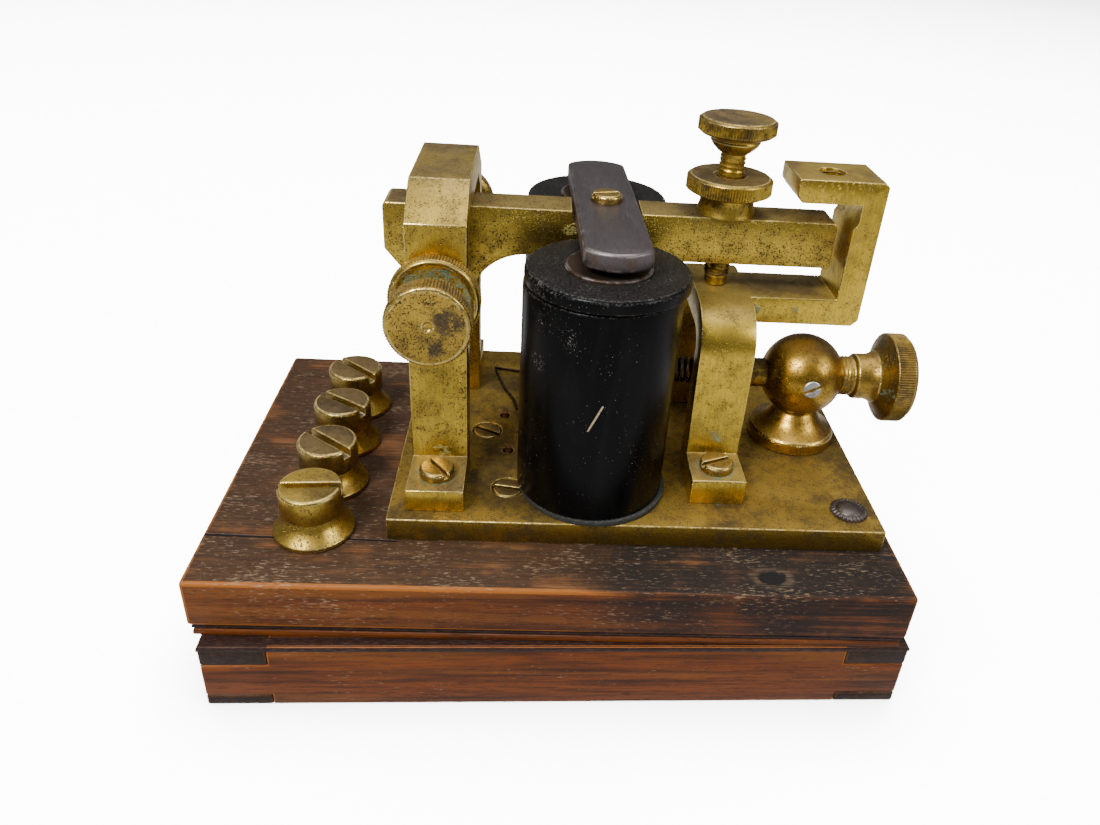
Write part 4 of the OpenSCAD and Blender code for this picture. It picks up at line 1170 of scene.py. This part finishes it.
@dataclass
class LeverArm:
    """The lever with its armature and spring arm, and the stop screw in it."""

    kit: Kit
    stop: tuple[float, float] = (37.7, 7.25)
    head_z: float = 122.7
    top_z: float = 103.75
    tip_z: float = 85.22
    thread_r: float = 3.15
    head_r: float = 9.2
    nut_r: float = 10.3

    def build(self) -> None:
        """Makes the lever's pieces."""
        make, fin = self.kit.maker, self.kit.finishes
        make.soften("lever", 0.28, fin["lever"], "lever", "lever_brass")
        make.soften("armature", 0.75, fin["armature"], "lever", "armature_steel", segments=3)
        make.soften("armature_screw", 0.2, fin["screw"], "lever", "screw_brass")
        make.soften("spring_arm", 0.1, fin["turned"], "lever", "lever_brass")
        self.stop_screw()
        self.stop_nut()

    def stop_screw(self) -> None:
        """Makes the stop screw."""
        z, r, mat = self.head_z, self.head_r, self.kit.finishes["turned"]
        core = self.thread_r - 0.28
        body = lathe([(0, self.tip_z), (2.3, self.tip_z), (2.75, self.tip_z + 0.5), (2.75, self.tip_z + 2.4),
                      (core, self.tip_z + 2.7), (core, z - 4.7), (3.7, z - 4.4), (5.3, z - 2.9), (5.9, z - 1.9),
                      (5.6, z - 1.3), (7.3, z - 0.7), (r - 0.9, z - 0.35), (r - 0.3, z + 0.3), (r - 0.3, z + 2.75),
                      (r - 0.9, z + 3.4), (6.6, z + 3.3), (2.6, z + 3.1), (1.6, z + 2.8), (0, z + 2.7)], 112, 0.22)
        shape = body.plus(self.kit.rim(mat, r - 0.3, z + 0.25, z + 2.8, 86))
        shape = shape.plus(self.kit.helix(mat, core, self.tip_z + 3.0, z - 5.0, 0.95, 0.28))
        self.kit.maker.shape(shape.moved(Matrix.Translation((*self.stop, 0))), "stop_screw_turned",
                             self.kit.finishes["stop_screw"], "stop_screw", "turned_brass", ("stop_screw",))

    def stop_nut(self) -> None:
        """Makes the stop screw's lock nut."""
        z, r, mat = self.top_z, self.nut_r, self.kit.finishes["turned"]
        ring = lathe([(3.22, z), (7.2, z), (7.0, z + 0.5), (6.5, z + 2.4), (6.5, z + 4.4), (8.9, z + 4.75),
                      (r - 0.3, z + 5.5), (r - 0.3, z + 8.35), (r - 0.9, z + 9.0), (6.5, z + 8.95), (4.0, z + 8.95),
                      (3.22, z + 8.6)], 112, 0.2)
        shape = ring.plus(self.kit.rim(mat, r - 0.3, z + 5.45, z + 8.4, 96))
        self.kit.maker.shape(shape.moved(Matrix.Translation((*self.stop, 0))), "stop_nut_turned",
                             self.kit.finishes["nut_top"], "stop_locknut", "turned_brass", ("stop_locknut",))


@dataclass
class AnvilArch:
    """The arch casting with its stop bracket and foot screws."""

    kit: Kit
    vacant_hole: tuple[float, float, float] = (61.9, 7.25, 0)

    def build(self) -> None:
        """Makes the arch's pieces."""
        make, fin = self.kit.maker, self.kit.finishes
        make.soften("anvil_arch", 0.32, fin["arch"], "base", "casting_brass")
        ridge = self.kit.helix(fin["rod"], 3.2, 109.5, 114.5, 0.9, 0.28)
        make.shape(ridge.moved(Matrix.Translation(self.vacant_hole)), "vacant_hole_thread", fin["rod"], "base",
                   "casting_brass")
        make.soften("anvil_screws", 0.2, fin["screw"], "base", "screw_brass")


@dataclass
class TensionGear:
    """The ball post, the tension screw, the draw rod and the spring."""

    kit: Kit
    x: float = 65.0
    y: float = 7.25
    z: float = 59.9
    floor: float = 40.7
    ball_r: float = 11.0
    spring_r: float = 3.1
    wire_r: float = 0.45
    spring_x: tuple[float, float] = (10.5, 36.5)
    turns: int = 17

    def build(self) -> None:
        """Makes the gear's pieces."""
        make, fin = self.kit.maker, self.kit.finishes
        self.post()
        make.soften("ball_set_screw", 0.12, fin["set_screw"], "base", "screw_steel")
        self.knob()
        make.soften("draw_rod", 0.15, fin["rod"], "draw_rod", "turned_brass")
        self.spring()

    def post(self) -> None:
        """Makes the post with its ball."""
        z0, bottom = self.floor, self.z - self.floor
        seat = math.acos(5.0 / self.ball_r)
        ball = [(self.ball_r * math.cos(a), bottom + self.ball_r * math.sin(a))
                for a in [-seat + (seat + math.pi / 2) * i / 30 for i in range(30)]]
        shape = lathe([(0, -10.4), (3.95, -10.4), (3.95, 0), (11.3, 0.02), (11.6, 0.5), (11.6, 3.1), (11.1, 3.75),
                       (10.5, 4.1), (8.6, 5.4), (7.1, 7.2), (6.1, 8.9), (5.3, 9.7), *ball, (0, bottom + self.ball_r)],
                      112, 0.25)
        self.kit.maker.shape(shape.moved(Matrix.Translation((self.x, self.y, z0))), "ball_post_turned",
                             self.kit.finishes["ball"], "base", "turned_brass", ("ball_post",))

    def knob(self) -> None:
        """Makes the tension screw."""
        far, mat = self.x + self.ball_r, self.kit.finishes["turned"]
        body = lathe([(2.65, 66.5), (5.05, 66.5), (5.05, far + 2.2), (5.5, far + 2.5), (6.1, far + 3.0),
                      (6.1, far + 6.0), (6.4, far + 7.2), (7.0, far + 8.3), (8.2, far + 9.4), (10.4, far + 10.7),
                      (11.7, far + 11.3), (11.7, far + 15.8), (11.0, far + 16.7), (8.0, far + 17.3), (3.0, far + 17.65),
                      (0.02, far + 17.68), (0.02, far + 8.0), (2.65, far + 8.0)], 120, 0.25)
        shape = body.plus(self.kit.rim(mat, 11.7, far + 11.35, far + 15.75, 112, 0.26))
        shape = shape.plus(self.kit.helix(mat, 5.02, far - 9.0, far + 2.0, 0.85, 0.32))
        at = Matrix.Translation((0, self.y, self.z)) @ Matrix.Rotation(math.radians(90), 4, "Y")
        self.kit.maker.shape(shape.moved(at), "tension_knob", self.kit.finishes["tension"], "tension_screw",
                             "turned_brass", ("tension_screw",))

    def spring(self) -> None:
        """Makes the spring with a loop at each end."""
        r, (low, high) = self.spring_r, self.spring_x
        path = [Vector((low + r * math.cos(a), self.y, self.z + r * math.sin(a)))
                for a in [math.radians(265 - 175 * k / 12) for k in range(12)]]
        steps = self.turns * 20
        for k in range(steps + 1):
            a = 2 * math.pi * self.turns * k / steps
            path.append(Vector((low + (high - low) * k / steps, self.y + r * math.sin(a), self.z + r * math.cos(a))))
        path += [Vector((high + r * math.cos(a), self.y, self.z + r * math.sin(a)))
                 for a in [math.radians(90 - 175 * k / 12) for k in range(1, 13)]]
        half = len(path) // 2
        make, fin = self.kit.maker, self.kit.finishes["spring"]
        near = make.shape(tube(path[:half + 1], self.wire_r, 10), "spring_lever_half", fin, "", "screw_steel",
                          ("tension_spring",), sharp=60)
        away = make.shape(tube(path[half:], self.wire_r, 10), "spring_rod_half", fin, "", "screw_steel", sharp=60)
        height, middle = (self.y * MM, self.z * MM), (low + high) / 2 * MM
        low * MM
        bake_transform(near)
        high * MM
        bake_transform(away)


@dataclass
class Terminals:
    """The four terminals."""

    kit: Kit
    x: float = -57.6
    front: float = -32.4
    pitch: float = 18.8
    floor: float = 34.7

    def build(self) -> None:
        """Makes the terminals."""
        make, fin = self.kit.maker, self.kit.finishes
        row = Shape()
        for i in range(4):
            skirt = lathe([(2.46, 0.03), (9.1, 0.03), (9.4, 0.4), (9.4, 1.2), (8.9, 1.7), (8.1, 2.6), (7.2, 3.7),
                           (6.7, 4.6), (6.5, 5.3), (6.2, 6.18), (2.46, 6.18)], 96, 0.2)
            row = row.plus(skirt.moved(Matrix.Translation((self.x, self.front + i * self.pitch, self.floor))))
        make.shape(row, "terminal_skirts_turned", fin["terminal"], "base", "terminal_brass", ("terminal_skirts",))
        for i in range(1, 5):
            node = f"terminal_screw_{i}"
            make.soften(node, 0.3, fin["terminal_front" if i == 1 else "terminal_head"], node, "terminal_brass")
        make.soften("terminal_nuts", 0.2, fin["terminal"], "base", "terminal_brass")


@dataclass
class Studio:
    """The camera, the lights and the floor."""

    eye: tuple[float, float, float] = (-8.389, -196.896, 170.501)
    right: tuple[float, float, float] = (0.99728271, -0.03687442, 0.06377674)
    ahead: tuple[float, float, float] = (0.06441457, 0.85656055, -0.51201054)
    lens: float = 28.65
    shift: tuple[float, float] = (-0.0309, -0.00933)

    def build(self, paper: bpy.types.Material) -> None:
        """Makes the studio.

        Args:
            paper: the floor's finish.
        """
        self.camera()
        mesh = bpy.data.meshes.new("floor")
        mesh.from_pydata([(-3, -3, 0), (3, -3, 0), (3, 3, 0), (-3, 3, 0)], [], [(0, 1, 2, 3)])
        mesh.materials.append(paper)
        floor = bpy.data.objects.new("floor", mesh)
        bpy.context.scene.collection.objects.link(floor)
        floor.visible_glossy = False
        floor.visible_diffuse = False
        only = bpy.data.collections.new("floor_only")
        only.objects.link(floor)
        self.light("key", (-0.45, -0.55, 0.80), 0.30, 13.0)
        self.light("fill", (0.75, -0.35, 0.55), 0.40, 4.0)
        self.light("top", (0.10, 0.10, 1.10), 0.70, 7.0)
        wash = self.light("wash", (0.0, 0.2, 2.2), 2.4, 900.0)
        wash.light_linking.receiver_collection = only
        self.sky()

    def sky(self) -> None:
        """Makes the surroundings: pale below, dark at the horizon, grey above."""
        world = bpy.data.worlds.new("studio")
        world.use_nodes = True
        tree = world.node_tree
        coords = tree.nodes.new("ShaderNodeTexCoord")
        parts = tree.nodes.new("ShaderNodeSeparateXYZ")
        ramp = tree.nodes.new("ShaderNodeValToRGB")
        lift = tree.nodes.new("ShaderNodeMapRange")
        tree.links.new(coords.outputs["Generated"], parts.inputs[0])
        tree.links.new(parts.outputs[2], lift.inputs["Value"])
        lift.inputs["From Min"].default_value = -1.0
        tree.links.new(lift.outputs[0], ramp.inputs[0])
        stops = ((0.0, 1.0), (0.30, 0.95), (0.45, 0.50), (0.53, 0.10), (0.66, 0.08), (0.82, 0.28), (1.0, 0.50))
        while len(ramp.color_ramp.elements) < len(stops):
            ramp.color_ramp.elements.new(0.5)
        for element, (place, level) in zip(ramp.color_ramp.elements, stops):
            element.position = place
            element.color = (level, level, level * 1.01, 1.0)
        tree.links.new(ramp.outputs[0], tree.nodes["Background"].inputs[0])
        tree.nodes["Background"].inputs[1].default_value = 1.0
        bpy.context.scene.world = world

    def camera(self) -> None:
        """Makes the camera."""
        data = bpy.data.cameras.new("view")
        data.sensor_width = 36.0
        data.lens = self.lens
        data.shift_x, data.shift_y = self.shift
        data.clip_start = 0.01
        cam = bpy.data.objects.new("view", data)
        x, z = Vector(self.right), -Vector(self.ahead)
        y = z.cross(x)
        turn = Matrix((x, y, z)).transposed().to_4x4()
        cam.matrix_world = Matrix.Translation(Vector(self.eye) * MM) @ turn
        bpy.context.scene.collection.objects.link(cam)
        bpy.context.scene.camera = cam

    def light(self, name: str, at: tuple[float, float, float], size: float, watts: float) -> bpy.types.Object:
        """Adds a square soft light that faces the object.

        Args:
            name: its name.
            at: its place in metres.
            size: its side in metres.
            watts: its power.

        Returns:
            The light.
        """
        data = bpy.data.lights.new(name, "AREA")
        data.size = size
        data.energy = watts
        lamp = bpy.data.objects.new(name, data)
        lamp.location = at
        aim = Vector((0, 0, 0.05)) - Vector(at)
        lamp.rotation_euler = aim.to_track_quat("-Z", "Y").to_euler()
        bpy.context.scene.collection.objects.link(lamp)
        return lamp


def finishes() -> dict[str, bpy.types.Material]:
    """Makes every finish.

    Returns:
        The materials by short name.
    """
    crack = (((73.5, -52, 18.6), (79.0, -52, 13.5), 0.9), ((79.5, -52, 3.2), (83.6, -52, 0.2), 0.7))
    made = [
        ("slab", Mahogany("slab_mahogany", wear=0.75, top_dark=0.75, shift=3.0, gloss=0.45,
                          char=(Patch((62, -44, 34.7), 16, 36), Patch((84, -10, 34.7), 10, 34),
                                Patch((26, -44, 34.7), 8, 30), Patch((66, -52, 26), 4, 11),
                                Patch((44, -52, 31), 2, 6)),
                          knots=((49.7, -45.9, 34.7),),
                          cracks=(((-82.5, -35.5, 34.7), (-66, -35.9, 34.7), 0.5),
                                  ((-51, -35.8, 34.7), (-38, -36.2, 34.7), 0.4)))),
        ("lip", Mahogany("lip_mahogany", wear=0.4, shift=40.0, ebony_bands=((20.5, 22.6),))),
        ("bead", Mahogany("bead_mahogany", wear=0.4, shift=47.0, ebony_bands=((15.0, 19.0),))),
        ("rail_x", Mahogany("rail_mahogany", warm=(0.185, 0.044, 0.0045), wear=0.25, shift=80.0, cracks=crack)),
        ("rail_y", Mahogany("side_mahogany", warm=(0.030, 0.012, 0.006), deep=(0.012, 0.006, 0.004),
                            glow=(0.09, 0.035, 0.012), wear=0.35, grain=Grain.ALONG_Y, shift=120.0, cracks=crack)),
        ("plate", AgedBrass("plate_brass", gold=(0.56, 0.355, 0.05), tarnish=0.4, top_face_mix=0.62, spots=0.7,
                            rough=0.30, grain=Grain.ALONG_X, grain_depth=0.6, top_color=(0.085, 0.058, 0.024),
                            green=(Patch((-29, -25, 40.7), 5, 12, 0.50), Patch((39, -20, 40.7), 5, 10, 0.52),
                                   Patch((8.3, -18, 40.7), 16, 21, 0.53)))),
        ("plate_screw", AgedBrass("plate_screw_brass", gold=(0.42, 0.27, 0.07), top_face_mix=0.35, tarnish=0.3)),
        ("stud", Steel("stud_steel", color=(0.085, 0.072, 0.065), rusty=0.5, grain=Grain.NONE)),
        ("set_screw", Steel("set_screw_steel", color=(0.45, 0.44, 0.42), rusty=0.0, grain=Grain.NONE)),
        ("copper", CopperWire("enamelled_copper")),
        ("tail", CopperWire("dark_wire", color=(0.05, 0.032, 0.02))),
        ("iron", Steel("yoke_iron", color=(0.08, 0.07, 0.065), rusty=0.6, grain=Grain.NONE)),
        ("core", Steel("core_iron", color=(0.062, 0.042, 0.03), rust=(0.045, 0.026, 0.016), rusty=0.5,
                       grain=Grain.NONE, rough=0.5)),
        ("armature", Steel("armature_steel")),
        ("spring", Steel("spring_steel", color=(0.04, 0.035, 0.03), rusty=0.4, grain=Grain.NONE)),
        ("cheek", Ebonite("cheek_ebonite", dust=1.1, top_dust=1.0,
                          chips=(Patch((-7, -33, 97), 1.5, 6, 0.55), Patch((-8.5, -27, 97), 1, 5, 0.56)))),
        ("sleeve", Ebonite("sleeve_ebonite", dust=0.7,
                           scratches=(((7.8, -36.2, 73.4), (5.0, -36.2, 67.0), 0.3),),
                           chips=(Patch((0.5, -35, 88.5), 1.0, 4, 0.55), Patch((-6.5, -29.5, 80.5), 0.8, 3.2, 0.55),
                                  Patch((-4, -32, 91.5), 0.8, 5.0, 0.57)))),
        ("washer", Ebonite("washer_ebonite", color=(0.03, 0.032, 0.03), dust=0.8, crescent_z=43.0)),
        ("bridge", AgedBrass("bridge_brass", gold=(0.90, 0.63, 0.085), grime=0.28, tarnish=0.10, top_face_mix=0.85,
                             shift=11.0, green=(Patch((-29.3, -25, 46.5), 3.6, 8, 0.47),
                                                Patch((-29.3, -18, 48), 1, 7, 0.50)))),
        ("arch", AgedBrass("arch_brass", gold=(0.93, 0.65, 0.085), grime=0.22, tarnish=0.04, spots=0.35, shift=23.0,
                           top_face_mix=0.8, green=(
            Patch((38.8, -20.4, 47.5), 3.6, 8.5, 0.47), Patch((46.5, -0.9, 82), 0.8, 4.5, 0.47),
            Patch((57, -0.9, 82.5), 0.5, 3.0, 0.5), Patch((70, 7, 90), 2, 9, 0.58),
            Patch((38.8, -14, 52), 1, 7, 0.53)))),
        ("lever", AgedBrass("lever_brass", gold=(0.80, 0.565, 0.085), grime=0.34, tarnish=0.16, spots=0.75,
                            grain=Grain.ALONG_X, shift=37.0, top_face_mix=0.85,
                            green=(Patch((0.3, 1.8, 99), 0.8, 4.0, 0.5), Patch((37.7, 7.25, 103.7), 6, 9.0, 0.62),
                                   Patch((17.5, 1.8, 103), 0.5, 3, 0.54)))),
        ("screw", AgedBrass("screw_brass", gold=(0.55, 0.38, 0.10), brown=(0.12, 0.08, 0.035), tarnish=0.25,
                            top_face_mix=0.25, top_color=(0.24, 0.14, 0.045), grain=Grain.NONE, spots=0.5)),
        ("turned", AgedBrass("turned_brass", tarnish=0.5, grain=Grain.NONE, shift=51.0)),
        ("knob", AgedBrass("pivot_knob_brass", gold=(0.74, 0.49, 0.085), tarnish=0.22, grain=Grain.NONE, spots=0.95,
                           rough=0.25, shift=64.0, stains=(Patch((-25.6, -34, 90.5), 2.2, 4.6, 0.40),
                                                           Patch((-28.5, -34, 93.6), 0.8, 3.0, 0.46),
                                                           Patch((-28.5, -34, 84.3), 0.8, 3.2, 0.47)))),
        ("nut", AgedBrass("pivot_nut_brass", tarnish=0.5, grain=Grain.NONE, shift=70.0, green=(
            Patch((-29.5, -20.5, 89.3), 7.6, 9.4, 0.46),))),
        ("nut_top", AgedBrass("stop_nut_brass", tarnish=0.5, top_face_mix=0.9, grain=Grain.NONE, shift=75.0, green=(
            Patch((37.7, 7.25, 104.0), 6.2, 7.6, 0.55),))),
        ("stop_screw", AgedBrass("stop_screw_brass", tarnish=0.5, top_face_mix=0.9, grain=Grain.NONE, shift=81.0,
                                 green=(Patch((37.7, 7.25, 118.5), 2, 6.0, 0.54),))),
        ("ball", AgedBrass("ball_brass", gold=(0.72, 0.44, 0.055), brown=(0.15, 0.08, 0.022), grime=0.16, tarnish=0.3,
                           top_face_mix=0.5, grain=Grain.NONE, rough=0.17, spots=0.5, shift=90.0, green=(
                               Patch((65, -4, 41.5), 6, 8, 0.60),))),
        ("tension", AgedBrass("tension_brass", gold=(0.60, 0.375, 0.06), grime=0.25, tarnish=0.42, top_face_mix=0.6,
                              grain=Grain.NONE, rough=0.24, shift=99.0,
                              green=(Patch((84.5, -3, 60), 2, 6, 0.58), Patch((77, 7, 60), 5, 6.5, 0.58)))),
        ("rod", AgedBrass("rod_brass", tarnish=0.5, grain=Grain.NONE, shift=105.0)),
        ("terminal", AgedBrass("terminal_brass", gold=(0.74, 0.50, 0.085), grime=0.25, tarnish=0.3, top_face_mix=0.3,
                               grain=Grain.NONE, rough=0.24, shift=111.0)),
        ("terminal_head", AgedBrass("terminal_head_brass", gold=(0.56, 0.39, 0.10), tarnish=0.35, top_face_mix=0.9,
                                    top_color=(0.13, 0.09, 0.052), grain=Grain.NONE, shift=117.0, dirt_under=46.9)),
        ("terminal_front", AgedBrass("terminal_front_brass", gold=(0.80, 0.55, 0.09), grime=0.2, tarnish=0.25,
                                     top_face_mix=0.55, top_color=(0.20, 0.14, 0.06), grain=Grain.NONE,
                                     shift=123.0, dirt_under=46.9)),
    ]
    return {key: finish.build() for key, finish in made}


def main() -> None:
    """Builds everything in order."""
    logging.basicConfig(level=logging.INFO, format="%(message)s")
    kit = Kit(Maker(), Knurl(), Thread(), finishes())
    Studio().build(Paper("floor_paper").build())
    for part in (WoodBase(kit), BrassPlate(kit), Coils(kit), PivotBridge(kit), LeverArm(kit), AnvilArch(kit),
                 TensionGear(kit), Terminals(kit)):
        part.build()
        LOG.info("built %s", type(part).__name__)
    bpy.context.view_layer.update()


if __name__ == "__main__":
    main()
